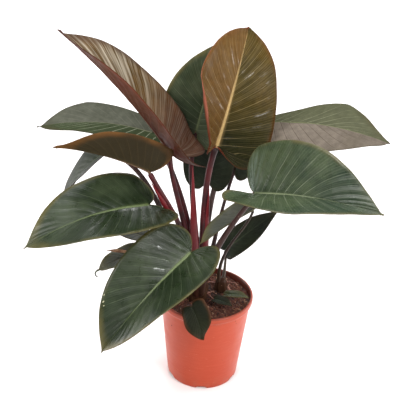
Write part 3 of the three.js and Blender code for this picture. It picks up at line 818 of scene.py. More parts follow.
class PHILODENDRON_OT_pot(bpy.types.Operator):
    """Build the pot, with its foot notches and drainage holes"""

    bl_idname = "philodendron.pot"
    bl_label = "Pot"

    def execute(self, context):
        foot = POT_BASE_RADIUS
        rim_foot = POT_HEIGHT - RIM_HEIGHT
        inside = POT_TOP_RADIUS - POT_WALL
        wall = [(wall_radius(z), z) for z in range(6, int(rim_foot) - 4, 8)]
        profile = [
            (0, 0), (30, 0), (foot - 6, 0), (foot - 2.6, 0.4), (foot - 1, 1.4), (foot, 3),
            *wall,
            (POT_TOP_RADIUS - 2.4, rim_foot - 3), (POT_TOP_RADIUS - 1, rim_foot - 0.6),
            (RIM_RADIUS - 1.8, rim_foot + 1.4), (RIM_RADIUS - 0.5, rim_foot + 3.4),
            (RIM_RADIUS, rim_foot + 6),
            (RIM_RADIUS, POT_HEIGHT - 4.5), (RIM_RADIUS - 0.4, POT_HEIGHT - 2.6),
            (RIM_RADIUS - 1.4, POT_HEIGHT - 1), (RIM_RADIUS - 3, POT_HEIGHT - 0.2),
            (inside + 2, POT_HEIGHT - 0.3), (inside + 0.7, POT_HEIGHT - 1.4), (inside, POT_HEIGHT - 4),
            (inside - 6, 190), (foot - POT_WALL, POT_WALL), (30, POT_WALL), (0, POT_WALL),
        ]
        cutters = bmesh.new()
        for i in range(NOTCH_COUNT):
            turn = Matrix.Rotation(TURN * i / NOTCH_COUNT - TURN / 4, 4, "Z")
            place = turn @ Matrix.Translation((foot, 0, 0))
            lie = Matrix.Rotation(TURN / 4, 4, "Y")
            squeeze = Matrix.Diagonal((1, 1, NOTCH_HEIGHT / (NOTCH_WIDTH / 2), 1))
            bmesh.ops.create_cone(
                cutters, cap_ends=True, segments=40, radius1=NOTCH_WIDTH / 2, radius2=NOTCH_WIDTH / 2,
                depth=16, matrix=place @ squeeze @ lie,
            )
        for i in range(DRAIN_HOLES):
            turn = Matrix.Rotation(TURN * (i + 0.5) / DRAIN_HOLES, 4, "Z")
            bmesh.ops.create_cone(
                cutters, cap_ends=True, segments=24, radius1=DRAIN_HOLE_RADIUS, radius2=DRAIN_HOLE_RADIUS,
                depth=12, matrix=turn @ Matrix.Translation((DRAIN_RING_RADIUS, 0, 0)),
            )
        pot = piece("pot_shell", spun(profile, POT_SIDES), [pot_plastic()], "pot")
        cut_with(pot, cutters)
        return {"FINISHED"}


def cut_with(obj, cutters):
    """Cut the shape in a bmesh, in millimetres, out of an object."""
    bmesh.ops.transform(cutters, matrix=Matrix.Scale(MM, 4), verts=cutters.verts)
    mesh = bpy.data.meshes.new("cutters")
    cutters.to_mesh(mesh)
    cutters.free()
    tool = placed("cutters", mesh)
    cut = obj.modifiers.new("Cut", "BOOLEAN")
    cut.operation = "DIFFERENCE"
    cut.solver = "EXACT"
    cut.object = tool
    shape = bpy.data.meshes.new_from_object(obj.evaluated_get(bpy.context.evaluated_depsgraph_get()))
    obj.modifiers.clear()
    old, obj.data = obj.data, shape
    shape.name = obj.name
    bpy.data.meshes.remove(old)
    bpy.data.objects.remove(tool)
    bpy.data.meshes.remove(mesh)
    obj.data.shade_smooth()
    obj.data.set_sharp_from_angle(angle=math.radians(40))


def soil_height(x, y):
    """Height of the mix without its lumps, as the solid has it."""
    waves = math.sin(x * 0.11 + 1) * math.cos(y * 0.13) + 0.6 * math.sin(x * 0.27 - y * 0.21)
    return SOIL_LEVEL + SOIL_BUMP * (waves + 0.5 * math.sin(x * 0.55 + y * 0.48)) * 0.6


def soil_surface(x, y):
    """Height of the loose mix, with its lumps."""
    place = Vector((x, y, 0))
    lumps = 2.4 * noise.noise(place * 0.09) + 1.5 * noise.noise(place * 0.23 + Vector((7, 1, 0)))
    crumbs = 1.3 * abs(noise.noise(place * 0.55)) + 0.7 * noise.noise(place * 1.3)
    edge = smooth_step(96, 111, place.length)
    return soil_height(x, y) + (lumps + crumbs) * (1 - 0.5 * edge) + 1.5 * edge


class PHILODENDRON_OT_potting_mix(bpy.types.Operator):
    """Build the potting mix that fills the pot"""

    bl_idname = "philodendron.potting_mix"
    bl_label = "Potting mix"

    def execute(self, context):
        top = [(SOIL_RADIUS * i / SOIL_RINGS, SOIL_LEVEL) for i in range(SOIL_RINGS + 1)]
        profile = [*top, (SOIL_RADIUS - 4, SOIL_LEVEL - 30), (POT_BASE_RADIUS - 5, 4), (0, 4)]
        bm = spun(profile, SOIL_SIDES)
        for vert in bm.verts:
            if vert.co.z > SOIL_LEVEL - 1:
                vert.co.z = soil_surface(vert.co.x, vert.co.y)
        piece("potting_mix", bm, [mix_finish()], "soil")
        return {"FINISHED"}


class PHILODENDRON_OT_litter(bpy.types.Operator):
    """Scatter bark, coir fibres and thin roots over the potting mix"""

    bl_idname = "philodendron.litter"
    bl_label = "Bark, fibres and roots"

    def execute(self, context):
        chance = random.Random(LITTER_SEED)
        bark_skin = bark_finish()
        bark = bmesh.new()
        for _ in range(BARK_CHIPS):
            x, y = spot(chance, SOIL_RADIUS - 4)
            size = chance.uniform(0.8, 2.6) if chance.random() < 0.85 else chance.uniform(2.8, 5)
            length, width = chance.uniform(0.7, 1.9), chance.uniform(0.6, 1.1)
            stretch = Matrix.Diagonal((length, width, chance.uniform(0.35, 0.8), 1))
            turn, tilt = chance.uniform(0, TURN), chance.gauss(0, 0.5)
            place = Matrix.Translation((x, y, soil_surface(x, y) + size * 0.2))
            shape = place @ Matrix.Rotation(turn, 4, "Z") @ Matrix.Rotation(tilt, 4, "X") @ stretch
            made = bmesh.ops.create_icosphere(bark, subdivisions=1, radius=size, matrix=shape)
            for vert in made["verts"]:
                vert.co += noise.noise_vector(vert.co * 0.9) * size * 0.35
        chips = piece("bark_chips", bark, [bark_skin], "soil")
        for face in chips.data.polygons:
            face.use_smooth = False
        fibres = bmesh.new()
        for _ in range(FIBRES):
            x, y = spot(chance, SOIL_RADIUS - 6)
            heading = chance.uniform(0, TURN)
            length = chance.uniform(8, 26)
            line = strand(chance, x, y, heading, length, 7, rise=chance.uniform(0.3, 3.2))
            thick = chance.uniform(0.16, 0.38)
            add_stem(fibres, line, lambda t, turn: thick * ends_closed(t, 0.2), 4)
        piece("coir_fibres", fibres, [fibre_finish("fibre")], "soil")
        roots = bmesh.new()
        for x, y, heading, length in ROOTLETS:
            heading = math.radians(heading)
            line = strand(chance, x, y, heading, length, 18, rise=9.0, sway=0.3, ground=soil_height)
            thick = 1.5 if length > 45 else 1.1
            add_stem(roots, line, lambda t, turn: thick * (1.15 - 0.5 * t) * ends_closed(t, 0.06), 8)
        piece("surface_roots", roots, [fibre_finish("root")], "soil")
        specks = bmesh.new()
        for angle, height, size in POT_SPECKS:
            turn = math.radians(angle)
            radius = wall_radius(height) + 0.1
            place = Matrix.Translation((math.cos(turn) * radius, math.sin(turn) * radius, height))
            shape = Matrix.Diagonal((0.7, 1, 1.3, 1))
            bmesh.ops.create_icosphere(specks, subdivisions=1, radius=size, matrix=place @ shape)
        piece("soil_specks_on_pot", specks, [bark_skin], "pot")
        return {"FINISHED"}


def spot(chance, radius):
    """Random place on the mix, in millimetres from the middle."""
    turn, out = chance.uniform(0, TURN), radius * math.sqrt(chance.random())
    return math.cos(turn) * out, math.sin(turn) * out


def strand(chance, x, y, heading, length, steps, rise, sway=1.0, ground=soil_surface):
    """Line that wanders over the mix, a little above it in the middle, and stays inside the pot."""
    line = []
    bend = chance.gauss(0, 0.9) * sway
    for i in range(steps + 1):
        t = i / steps
        height = ground(x, y) + rise * math.sin(math.pi * min(1, t * 1.02)) - 0.2
        line.append(Vector((x, y, height)))
        heading += bend / steps + chance.gauss(0, 0.12) * sway
        nx, ny = x + math.cos(heading) * length / steps, y + math.sin(heading) * length / steps
        if math.hypot(nx, ny) < SOIL_RADIUS - 3:
            x, y = nx, ny
        else:
            heading += 0.5
            x += 0.3 * math.cos(heading)
    return line


# Finishes. Every material reads object coordinates or the piece's own coordinates and marks.


def put(tree, kind, inputs=None, **words):
    """Add a node; inputs maps a socket's name or number to a value or to another node's output."""
    node = tree.nodes.new(kind)
    for key, value in words.items():
        setattr(node, key, value)
    for key, value in (inputs or {}).items():
        if isinstance(value, bpy.types.NodeSocket):
            tree.links.new(value, node.inputs[key])
        else:
            node.inputs[key].default_value = value
    return node


def calc(tree, operation, *values, clamp=False):
    """Result of a Math node."""
    node = put(tree, "ShaderNodeMath", dict(enumerate(values)), operation=operation, use_clamp=clamp)
    return node.outputs[0]


def times(tree, *values):
    """Product of masks and numbers."""
    product = values[0]
    for value in values[1:]:
        product = calc(tree, "MULTIPLY", product, value)
    return product


def paint(tree, amount, under, over, mode="MIX"):
    """Colour over laid on colour under."""
    node = put(tree, "ShaderNodeMix", {0: amount, 6: under, 7: over}, data_type="RGBA", blend_type=mode)
    return node.outputs[2]


def cover(tree, colour, top, *amounts):
    """Colour with another laid on it, as strong as the product of the amounts."""
    return paint(tree, times(tree, *amounts), colour, top)


def ramp(tree, value, low, high, start=0.0, end=1.0):
    """Smooth change from start to end as value goes from low to high."""
    words = {"Value": value, "From Min": low, "From Max": high, "To Min": start, "To Max": end}
    return put(tree, "ShaderNodeMapRange", words, interpolation_type="SMOOTHSTEP").outputs["Result"]


def grain(tree, vector, scale, detail=4.0, roughness=0.55):
    """Plain noise."""
    words = {"Vector": vector, "Scale": scale, "Detail": detail, "Roughness": roughness}
    return put(tree, "ShaderNodeTexNoise", words).outputs["Fac"]


def clouds(tree, vector, scale, detail, low, high, start=0.0, end=1.0):
    """Noise that changes smoothly from start to end between two of its values."""
    return ramp(tree, grain(tree, vector, scale, detail), low, high, start, end)


def axis(tree, vector, name):
    """One coordinate of a vector."""
    return put(tree, "ShaderNodeSeparateXYZ", {0: vector}).outputs[name]


def stretched(tree, vector, scale, turn=(0.0, 0.0, 0.0)):
    """Coordinates turned and scaled, for patterns that are longer one way."""
    return put(tree, "ShaderNodeMapping", {"Vector": vector, "Rotation": turn, "Scale": scale}).outputs[0]


def grey(tree, value):
    """Grey colour of a number."""
    return put(tree, "ShaderNodeCombineColor", {0: value, 1: value, 2: value}).outputs[0]


def cell_colours(tree, place, scale):
    """Random numbers that each small cell of the surface has for itself."""
    cells = put(tree, "ShaderNodeTexVoronoi", {"Vector": place, "Scale": scale}).outputs["Color"]
    return put(tree, "ShaderNodeSeparateColor", {0: cells}).outputs


def new_group(name, inputs, outputs):
    """Node group with named sockets: inputs are (name, kind, default), outputs are names of numbers."""
    tree = bpy.data.node_groups.new(name, "ShaderNodeTree")
    for label, kind, default in inputs:
        socket = tree.interface.new_socket(label, in_out="INPUT", socket_type=f"NodeSocket{kind}")
        if default is not None:
            socket.default_value = default
    for label in outputs:
        tree.interface.new_socket(label, in_out="OUTPUT", socket_type="NodeSocketFloat")
    return tree, tree.nodes.new("NodeGroupInput").outputs, tree.nodes.new("NodeGroupOutput").inputs


def vein_pattern():
    """Group that turns a blade's own coordinates into masks of its veins, and the height of its surface."""
    if "Leaf veins" in bpy.data.node_groups:
        return bpy.data.node_groups["Leaf veins"]
    labels = ("Vein", "Fine Vein", "Swell", "Streak", "Height")
    tree, given, result = new_group(
        "Leaf veins",
        [
            ("Leaf", "Vector", None), ("Place", "Vector", None), ("Veins", "Float", 20.0),
            ("Vein Width", "Float", 0.1),
        ],
        labels,
    )
    split = put(tree, "ShaderNodeSeparateXYZ", {0: given["Leaf"]}).outputs
    reach = calc(tree, "ABSOLUTE", calc(tree, "MULTIPLY_ADD", split["Y"], 2.0, -1.0))
    wander = calc(tree, "MULTIPLY_ADD", grain(tree, given["Place"], 22.0), 0.3, -0.15)
    swept = calc(tree, "MULTIPLY_ADD", reach, -VEIN_SWEEP, split["X"])
    count = calc(tree, "MULTIPLY_ADD", swept, given["Veins"], times(tree, wander, reach))
    off_vein = calc(tree, "PINGPONG", count, 0.5)
    width = times(tree, given["Vein Width"], calc(tree, "MULTIPLY_ADD", reach, -0.55, 1.0))
    sharp = calc(tree, "SUBTRACT", 1.0, calc(tree, "DIVIDE", off_vein, width), clamp=True)
    vein = times(tree, calc(tree, "POWER", sharp, 1.3), ramp(tree, reach, 0.98, 0.7))
    off_fine = calc(tree, "PINGPONG", times(tree, count, 5.0), 0.5)
    fine = times(tree, ramp(tree, off_fine, 0.22, 0.0), calc(tree, "SUBTRACT", 1.0, vein))
    swell = ramp(tree, off_vein, 0.0, 0.5)
    # Streak: patchy mask of the pale streaks between the veins, which the leaf finishes paint as sheen.
    drawn = put(tree, "ShaderNodeCombineXYZ", {0: times(tree, count, 2.6), 1: split["Y"]})
    streak = ramp(tree, grain(tree, drawn.outputs[0], 1.0, 3.0, 0.65), 0.42, 0.62)
    height = calc(tree, "MULTIPLY_ADD", fine, -0.28, times(tree, swell, 0.6))
    height = calc(tree, "MULTIPLY_ADD", vein, -0.5, height)
    height = calc(tree, "MULTIPLY_ADD", grain(tree, given["Place"], 160.0), 0.25, height)
    height = calc(tree, "MULTIPLY_ADD", grain(tree, given["Place"], 900.0, 3.0), 0.1, height)
    for label, value in zip(labels, (vein, fine, swell, streak, height)):
        tree.links.new(value, result[label])
    return tree


def new_material(name):
    """Material with its node tree and the object coordinates that its patterns read."""
    material = bpy.data.materials.new(name)
    material.use_nodes = True
    place = put(material.node_tree, "ShaderNodeTexCoord").outputs["Object"]
    return material, material.node_tree, place


def finish_surface(material, colour, roughness, height, strength, distance, specular=0.5):
    """Feed colour, roughness and bump into the surface shader."""
    tree = material.node_tree
    surface = tree.nodes["Principled BSDF"].inputs
    bump = put(tree, "ShaderNodeBump", {"Strength": strength, "Distance": distance * MM, "Height": height})
    tree.links.new(colour, surface["Base Color"])
    tree.links.new(roughness, surface["Roughness"])
    tree.links.new(bump.outputs["Normal"], surface["Normal"])
    surface["Specular IOR Level"].default_value = specular
    return material


def tone_words(tone):
    """A tone of the table with its colours made linear."""
    return {key: tint(*value) if isinstance(value, tuple) else value for key, value in TONES[tone].items()}


def blade_nodes(tree, place, width):
    """Veins of a blade and its marks: distance from the rib and from the margin, and the left half's mask."""
    leaf = put(tree, "ShaderNodeUVMap", uv_map="leaf").outputs["UV"]
    given = {"Leaf": leaf, "Place": place, "Veins": float(settings().vein_count), "Vein Width": width}
    veins = put(tree, "ShaderNodeGroup", given, node_tree=vein_pattern()).outputs
    marks = put(tree, "ShaderNodeAttribute", attribute_name="marks").outputs["Vector"]
    left = ramp(tree, axis(tree, leaf, "Y"), 0.51, 0.49)
    return veins, axis(tree, marks, "X"), axis(tree, marks, "Y"), left


def along_blade(tree, low, high):
    """Mask that rises from the petiole's end of the margin towards the tip."""
    return ramp(tree, axis(tree, put(tree, "ShaderNodeUVMap", uv_map="leaf").outputs["UV"], "X"), low, high)


def leaf_upper(tone):
    """Glossy upper face of a blade."""
    words = tone_words(tone)
    material, tree, place = new_material(f"leaf {tone} upper")
    veins, from_rib, from_margin, left = blade_nodes(tree, place, 0.075)
    colour = paint(tree, clouds(tree, place, 9.0, 3.0, 0.38, 0.66), words["upper"], words["patch"])
    vein_colour = words["vein"]
    if "left" in words:
        colour = cover(tree, colour, words["left"], left, 0.85)
    if "left_vein" in words:
        vein_colour = paint(tree, left, words["vein"], words["left_vein"])
    # Darker colour on the right half near the petiole. On the bronze leaf it is partly the lobe's own darker
    # green and partly painted shade on that lobe.
    if "low" in words:
        right = calc(tree, "SUBTRACT", 1.0, left)
        colour = cover(tree, colour, words["low"], along_blade(tree, 0.58, 0.4), right, 0.92)
    # Painted sheen: a pale blue-grey patch on the left half near the petiole, between the veins.
    if "painted_sheen" in words:
        near = times(tree, along_blade(tree, 0.46, 0.24), left, ramp(tree, from_margin, 0.1, 0.7))
        uneven = times(tree, clouds(tree, place, 18.0, 3.0, 0.36, 0.62), veins["Swell"])
        colour = cover(tree, colour, words["painted_sheen"], near, uneven, 0.55)
    mottle = clouds(tree, place, 70.0, 5.0, 0.3, 0.75, 0.84, 1.14)
    colour = paint(tree, 1.0, colour, grey(tree, mottle), "MULTIPLY")

    # Pale streaks between the veins, which are painted sheen, then the side veins, the fine ones between them
    # and the midrib.
    between = calc(tree, "MULTIPLY_ADD", veins["Swell"], 0.5, 0.5)
    far = calc(tree, "MULTIPLY_ADD", along_blade(tree, 0.48, 0.7), 0.8, 0.2)
    colour = cover(tree, colour, vein_colour, between, veins["Streak"], words["stripe"], far)
    uneven = clouds(tree, place, 14.0, 2.0, 0.3, 0.62, 0.25, 1.0)
    vein = times(tree, veins["Vein"], words["vein_strength"], uneven)
    colour = cover(tree, colour, vein_colour, vein)
    colour = cover(tree, colour, vein_colour, veins["Fine Vein"], words.get("fine", 0.1))
    for reach, amount in ((0.3, 0.2), (0.14, 0.7)):
        colour = cover(tree, colour, words["rib"], ramp(tree, from_rib, reach, 0.1, 0.0, amount))

    # Margin: a broad patchy band and a thin line at the edge itself.
    patchy = clouds(tree, place, 12.0, 4.0, 0.35, 0.6, 0.1, 0.8)
    sided = calc(tree, "MULTIPLY_ADD", left, 0.65, 0.35) if "left" in words else 1.0
    colour = cover(tree, colour, words["edge"], ramp(tree, from_margin, 0.3, 0.0), patchy, sided)
    colour = cover(tree, colour, words["edge"], ramp(tree, from_margin, 0.04, 0.015, 0.0, 0.5))

    shine = words["shine"]
    gloss = clouds(tree, place, 40.0, 3.0, 0.25, 0.75, shine - 0.06, shine + 0.1)
    gloss = calc(tree, "MULTIPLY_ADD", veins["Vein"], -0.1, gloss)
    wet = times(tree, vein, min(0.6, 2 * words["gloss"]))
    if "coat" in words:
        beside = times(tree, ramp(tree, veins["Swell"], 0.01, 0.06), ramp(tree, veins["Swell"], 0.34, 0.16))
        inner = times(tree, ramp(tree, from_margin, 0.3, 0.75), ramp(tree, from_rib, 0.15, 0.4))
        spots = clouds(tree, place, 26.0, 2.0, 0.48, 0.6, 0.0, words["coat"])
        wet = calc(tree, "MAXIMUM", wet, times(tree, beside, inner, spots))
    surface = tree.nodes["Principled BSDF"].inputs
    tree.links.new(wet, surface["Coat Weight"])
    surface["Coat Roughness"].default_value = 0.16
    return finish_surface(material, colour, gloss, veins["Height"], 0.55, 0.6, words["gloss"])


def leaf_under(tone):
    """Duller underside of a blade, with its veins raised."""
    words = tone_words(tone)
    material, tree, place = new_material(f"leaf {tone} underside")
    veins, from_rib, from_margin, left = blade_nodes(tree, place, 0.15)
    under = words["under"]
    if "far_under" in words:
        middle = times(tree, along_blade(tree, 0.4, 0.6), along_blade(tree, 0.8, 0.7))
        outer = ramp(tree, from_margin, 0.4, 0.22, 0.25, 1.0)
        under = cover(tree, under, words["far_under"], middle, outer)
    colour = paint(tree, clouds(tree, place, 8.0, 3.0, 0.35, 0.68, 0.0, 0.4), under, words["upper"])
    colour = cover(tree, colour, words["under_vein"], veins["Vein"], 0.5)
    colour = cover(tree, colour, words["under_vein"], veins["Fine Vein"], 0.16)
    colour = cover(tree, colour, words["under_vein"], ramp(tree, from_rib, 0.3, 0.08, 0.0, 0.6))
    # Painted glow: orange light along the left margin of the underside, where light falls on it and shines
    # through it.
    if "band" in words:
        glow = ramp(tree, from_margin, words["band"], 0.05)
        uneven = clouds(tree, place, 16.0, 3.0, 0.3, 0.6, 0.3, 0.95)
        colour = cover(tree, colour, words["edge"], glow, left, uneven)
    colour = cover(tree, colour, words["edge"], ramp(tree, from_margin, 0.06, 0.0, 0.0, 0.5))
    raised = calc(tree, "MULTIPLY_ADD", veins["Vein"], 1.1, veins["Height"])
    gloss = clouds(tree, place, 50.0, 3.0, 0.25, 0.75, 0.5, 0.68)
    return finish_surface(material, colour, gloss, raised, 0.5, 0.5, 0.1)


def rib_finish(tone):
    """Midrib: pale at the petiole and closer to the blade's colour towards the tip."""
    words = tone_words(tone)
    material, tree, place = new_material(f"midrib {tone}")
    strand_uv = put(tree, "ShaderNodeUVMap").outputs["UV"]
    along = axis(tree, strand_uv, "X")
    streak = grain(tree, stretched(tree, strand_uv, (3.0, 26.0, 1.0)), 6.0, 3.0)
    colour = paint(tree, ramp(tree, along, 0.25, 0.8, 0.0, 0.85), words["rib"], words["upper"])
    colour = cover(tree, colour, words["vein"], ramp(tree, streak, 0.35, 0.7, 0.0, 0.35))
    colour = cover(tree, colour, tint(96, 44, 40), ramp(tree, along, 0.06, 0.0, 0.0, 0.6))
    gloss = clouds(tree, place, 60.0, 4.0, 0.3, 0.7, 0.3, 0.46)
    return finish_surface(material, colour, gloss, streak, 0.4, 0.3, 1.5 * words["gloss"])


def stem_streaks():
    """Group of long streaks and pale specks that run along a stem."""
    if "Stem streaks" in bpy.data.node_groups:
        return bpy.data.node_groups["Stem streaks"]
    tree, given, result = new_group(
        "Stem streaks",
        [("Place", "Vector", None), ("Stretch", "Vector", (1.0, 1.0, 0.08))],
        ("Streak", "Speck", "Height"),
    )
    drawn = put(tree, "ShaderNodeVectorMath", {0: given["Place"], 1: given["Stretch"]}, operation="MULTIPLY")
    streak = grain(tree, drawn.outputs[0], 320.0, 4.0, 0.6)
    spots = put(tree, "ShaderNodeTexVoronoi", {"Vector": given["Place"], "Scale": 130.0}).outputs["Distance"]
    chosen = clouds(tree, given["Place"], 60.0, 1.0, 0.56, 0.64)
    speck = times(tree, ramp(tree, spots, 0.16, 0.06), chosen)
    height = calc(tree, "MULTIPLY_ADD", speck, 0.5, streak)
    for label, value in (("Streak", streak), ("Speck", speck), ("Height", height)):
        tree.links.new(value, result[label])
    return tree


def streaked(tree, place):
    """Streak, speck and height of a stem's skin."""
    return put(tree, "ShaderNodeGroup", {"Place": place}, node_tree=stem_streaks()).outputs.values()


def petiole_finish(kind):
    """Smooth skin of the petioles: red, brown or greenish (low), and that of the short stems."""
    name = f"petiole {kind}"
    if name in bpy.data.materials:
        return bpy.data.materials[name]
    material, tree, place = new_material(name)
    streak, speck, height = streaked(tree, place)
    usual = tuple(settings().petiole_colour)
    base, second = {
        "red": (usual, tint(78, 23, 27)),
        "brown": (usual, tint(54, 34, 29)),
        "low": (tint(48, 36, 30), tint(60, 54, 40)),
        "stem": (usual, tint(38, 26, 20)),
    }[kind]
    colour = paint(tree, clouds(tree, place, 12.0, 2.0, 0.36, 0.64), base, second)
    colour = cover(tree, colour, tint(30, 14, 16), ramp(tree, streak, 0.4, 0.75, 0.0, 0.5))
    colour = cover(tree, colour, tint(70, 48, 32), ramp(tree, axis(tree, place, "Z"), 0.30, 0.23, 0.0, 0.6))
    colour = cover(tree, colour, tint(168, 132, 110), speck, 0.55)
    gloss = ramp(tree, streak, 0.3, 0.7, 0.36, 0.5)
    return finish_surface(material, colour, gloss, height, 0.35, 0.4, 0.05 if kind == "stem" else 0.22)


def sheath_finish():
    """Bright red sheath with darker lines."""
    material, tree, place = new_material("sheath")
    streak, speck, height = streaked(tree, place)
    base = tuple(settings().sheath_colour)
    colour = paint(tree, ramp(tree, streak, 0.35, 0.7), base, tint(96, 26, 30))
    colour = cover(tree, colour, tint(66, 26, 28), ramp(tree, axis(tree, place, "Z"), 0.44, 0.30, 0.0, 0.75))
    colour = cover(tree, colour, tint(190, 120, 110), speck, 0.3)
    gloss = ramp(tree, streak, 0.3, 0.7, 0.34, 0.46)
    return finish_surface(material, colour, gloss, height, 0.4, 0.4, 0.22)


def pot_plastic():
    """Satin terracotta-coloured plastic with faint moulding rings, scuffs and dust near its foot and rim."""
    material, tree, place = new_material("pot plastic")
    high = axis(tree, place, "Z")
    flat = put(tree, "ShaderNodeVectorMath", {0: place, 1: (1.0, 1.0, 0.0)}, operation="MULTIPLY").outputs[0]
    out = put(tree, "ShaderNodeVectorMath", {0: flat}, operation="LENGTH").outputs["Value"]
    rings = grain(tree, stretched(tree, place, (0.6, 0.6, 9.0)), 34.0, 3.0)
    scratches = grain(tree, stretched(tree, place, (1.0, 1.0, 14.0), (0.5, 0.3, 0.0)), 60.0, 2.0)
    scuff = ramp(tree, scratches, 0.68, 0.76)
    foot_dust = (ramp(tree, high, 0.05, 0.0), clouds(tree, place, 45.0, 5.0, 0.4, 0.7), 0.45)
    smear = (ramp(tree, high, 0.17, 0.24), clouds(tree, place, 26.0, 6.0, 0.52, 0.72), 0.5)

    # The wall above the mix inside the pot gets painted shade, and the rim's top lip is worn.
    upper = ramp(tree, high, 0.220, 0.224)
    inside = (ramp(tree, out, 0.1165, 0.1145), upper, 0.85)
    lip = (ramp(tree, out, 0.1165, 0.1175), upper, ramp(tree, high, 0.2355, 0.2385, 0.2, 0.75))

    colour = tuple(settings().pot_colour)
    colour = cover(tree, colour, tint(158, 50, 22), clouds(tree, place, 7.0, 3.0, 0.32, 0.7), 0.4)
    colour = cover(tree, colour, tint(196, 92, 60), ramp(tree, rings, 0.4, 0.75, 0.0, 0.15))
    colour = cover(tree, colour, tint(150, 84, 62), *foot_dust)
    colour = cover(tree, colour, tint(116, 56, 38), *smear)
    colour = cover(tree, colour, tint(228, 150, 124), scuff, 0.3)
    # Painted shade on the inner wall above the mix.
    colour = cover(tree, colour, tint(66, 35, 27), *inside)
    colour = cover(tree, colour, tint(122, 62, 48), *lip)
    gloss = calc(tree, "MULTIPLY_ADD", scuff, 0.15, clouds(tree, place, 30.0, 4.0, 0.3, 0.7, 0.33, 0.47))
    height = calc(tree, "MULTIPLY_ADD", grain(tree, place, 700.0, 2.0), 0.3, times(tree, rings, 0.6))
    surface = tree.nodes["Principled BSDF"].inputs
    surface["Coat Weight"].default_value = 0.1
    surface["Coat Roughness"].default_value = 0.3
    return finish_surface(material, colour, gloss, height, 0.25, 0.3, 0.26)


def mix_finish():
    """Damp red-brown coir: dark patches and crumbs, darker mix with painted shade round the foot of the
    stems, rusty fibres and pale grains.
    """
    material, tree, place = new_material("potting mix")
    lumps = grain(tree, place, 90.0, 6.0, 0.7)
    words = {"Vector": place, "Scale": 240.0, "Detail": 5.0, "Distortion": 3.0}
    matted = put(tree, "ShaderNodeTexNoise", words).outputs["Fac"]
    picked = cell_colours(tree, place, 260.0)[0]
    # Darker mix and painted shade round the foot of the stems.
    away = put(tree, "ShaderNodeVectorMath", {0: place, 1: (0.0, 0.018, 0.226)}, operation="DISTANCE")
    painted_shade_by_stems = times(tree, ramp(tree, away.outputs["Value"], 0.056, 0.024), ramp(tree, lumps, 0.68, 0.46))
    colour = paint(tree, ramp(tree, lumps, 0.34, 0.58), tint(36, 20, 16), tuple(settings().mix_colour))
    colour = cover(tree, colour, tint(140, 76, 50), ramp(tree, matted, 0.5, 0.72, 0.0, 0.8))
    colour = cover(tree, colour, tint(186, 150, 118), ramp(tree, picked, 0.93, 0.96, 0.0, 0.6))
    colour = cover(tree, colour, tint(24, 15, 13), ramp(tree, picked, 0.2, 0.1, 0.0, 0.7))
    colour = cover(tree, colour, tint(26, 16, 14), painted_shade_by_stems, 0.9)
    height = calc(tree, "MULTIPLY_ADD", matted, 0.6, lumps)
    gloss = ramp(tree, lumps, 0.3, 0.7, 0.75, 0.95)
    return finish_surface(material, colour, gloss, height, 1.0, 2.0)


def bark_finish():
    """Chips of bark and clods, each of its own brown."""
    material, tree, place = new_material("bark")
    picked = cell_colours(tree, place, 160.0)
    fine = grain(tree, place, 420.0)
    colour = paint(tree, picked[0], tint(34, 20, 17), tint(122, 70, 48))
    colour = cover(tree, colour, tint(176, 138, 108), ramp(tree, picked[1], 0.9, 0.94, 0.0, 0.8))
    colour = cover(tree, colour, tint(58, 32, 24), ramp(tree, fine, 0.4, 0.7, 0.0, 0.5))
    gloss = ramp(tree, fine, 0.3, 0.7, 0.7, 0.92)
    return finish_surface(material, colour, gloss, fine, 0.8, 0.6)


def fibre_finish(kind):
    """Coir fibres, and the redder thin roots."""
    material, tree, place = new_material(f"{kind} skin")
    dark, light = {"fibre": ((96, 48, 32), (176, 112, 78)), "root": ((126, 78, 68), (196, 146, 128))}[kind]
    fine = grain(tree, place, 600.0, 3.0)
    colour = paint(tree, clouds(tree, place, 34.0, 3.0, 0.34, 0.66), tint(*dark), tint(*light))
    colour = cover(tree, colour, tint(66, 34, 26), ramp(tree, fine, 0.45, 0.7, 0.0, 0.4))
    gloss = ramp(tree, fine, 0.3, 0.7, 0.5, 0.75)
    return finish_surface(material, colour, gloss, fine, 0.4, 0.2)


def scar_finish():
    """Pale healed leaf tissue."""
    material, tree, place = new_material("scar")
    fine = grain(tree, place, 380.0, 3.0)
    colour = paint(tree, ramp(tree, fine, 0.35, 0.65), tint(150, 148, 112), tint(206, 204, 176))
    gloss = ramp(tree, fine, 0.3, 0.7, 0.5, 0.7)
    return finish_surface(material, colour, gloss, fine, 0.5, 0.3)


def dry_finish():
    """Dry brown leaf tissue."""
    material, tree, place = new_material("dry leaf")
    fine = grain(tree, place, 420.0, 3.0)
    colour = paint(tree, clouds(tree, place, 60.0, 4.0, 0.35, 0.65), tint(112, 70, 46), tint(176, 140, 104))
    colour = cover(tree, colour, tint(76, 50, 34), ramp(tree, fine, 0.4, 0.7, 0.0, 0.5))
    gloss = ramp(tree, fine, 0.3, 0.7, 0.6, 0.8)
    return finish_surface(material, colour, gloss, fine, 0.6, 0.4)


def floor_finish():
    """Pale floor that glows a little further back, so that it fades into the background."""
    material, tree, place = new_material("floor")
    cloud = grain(tree, place, 0.8, 3.0)
    base = tuple(settings().floor_colour)
    colour = cover(tree, base, tint(240, 236, 237), ramp(tree, cloud, 0.3, 0.7, 0.0, 0.5))
    gloss = ramp(tree, cloud, 0.3, 0.7, 0.6, 0.75)
    far = ramp(tree, axis(tree, place, "Y"), 0.9, 2.4, 0.0, 0.45)
    surface = tree.nodes["Principled BSDF"].inputs
    tree.links.new(grey(tree, far), surface["Emission Color"])
    surface["Emission Strength"].default_value = 1.0
    return finish_surface(material, colour, gloss, grain(tree, place, 300.0), 0.05, 0.1)


# Stage: floor, lights and camera.

# Camera: place in millimetres, angles in degrees and lens in millimetres.
CAMERA_PLACE = (-26.7, -1813, 1485.7)
CAMERA_PITCH = 28.4
CAMERA_ROLL = 2.8
CAMERA_LENS = 77.22

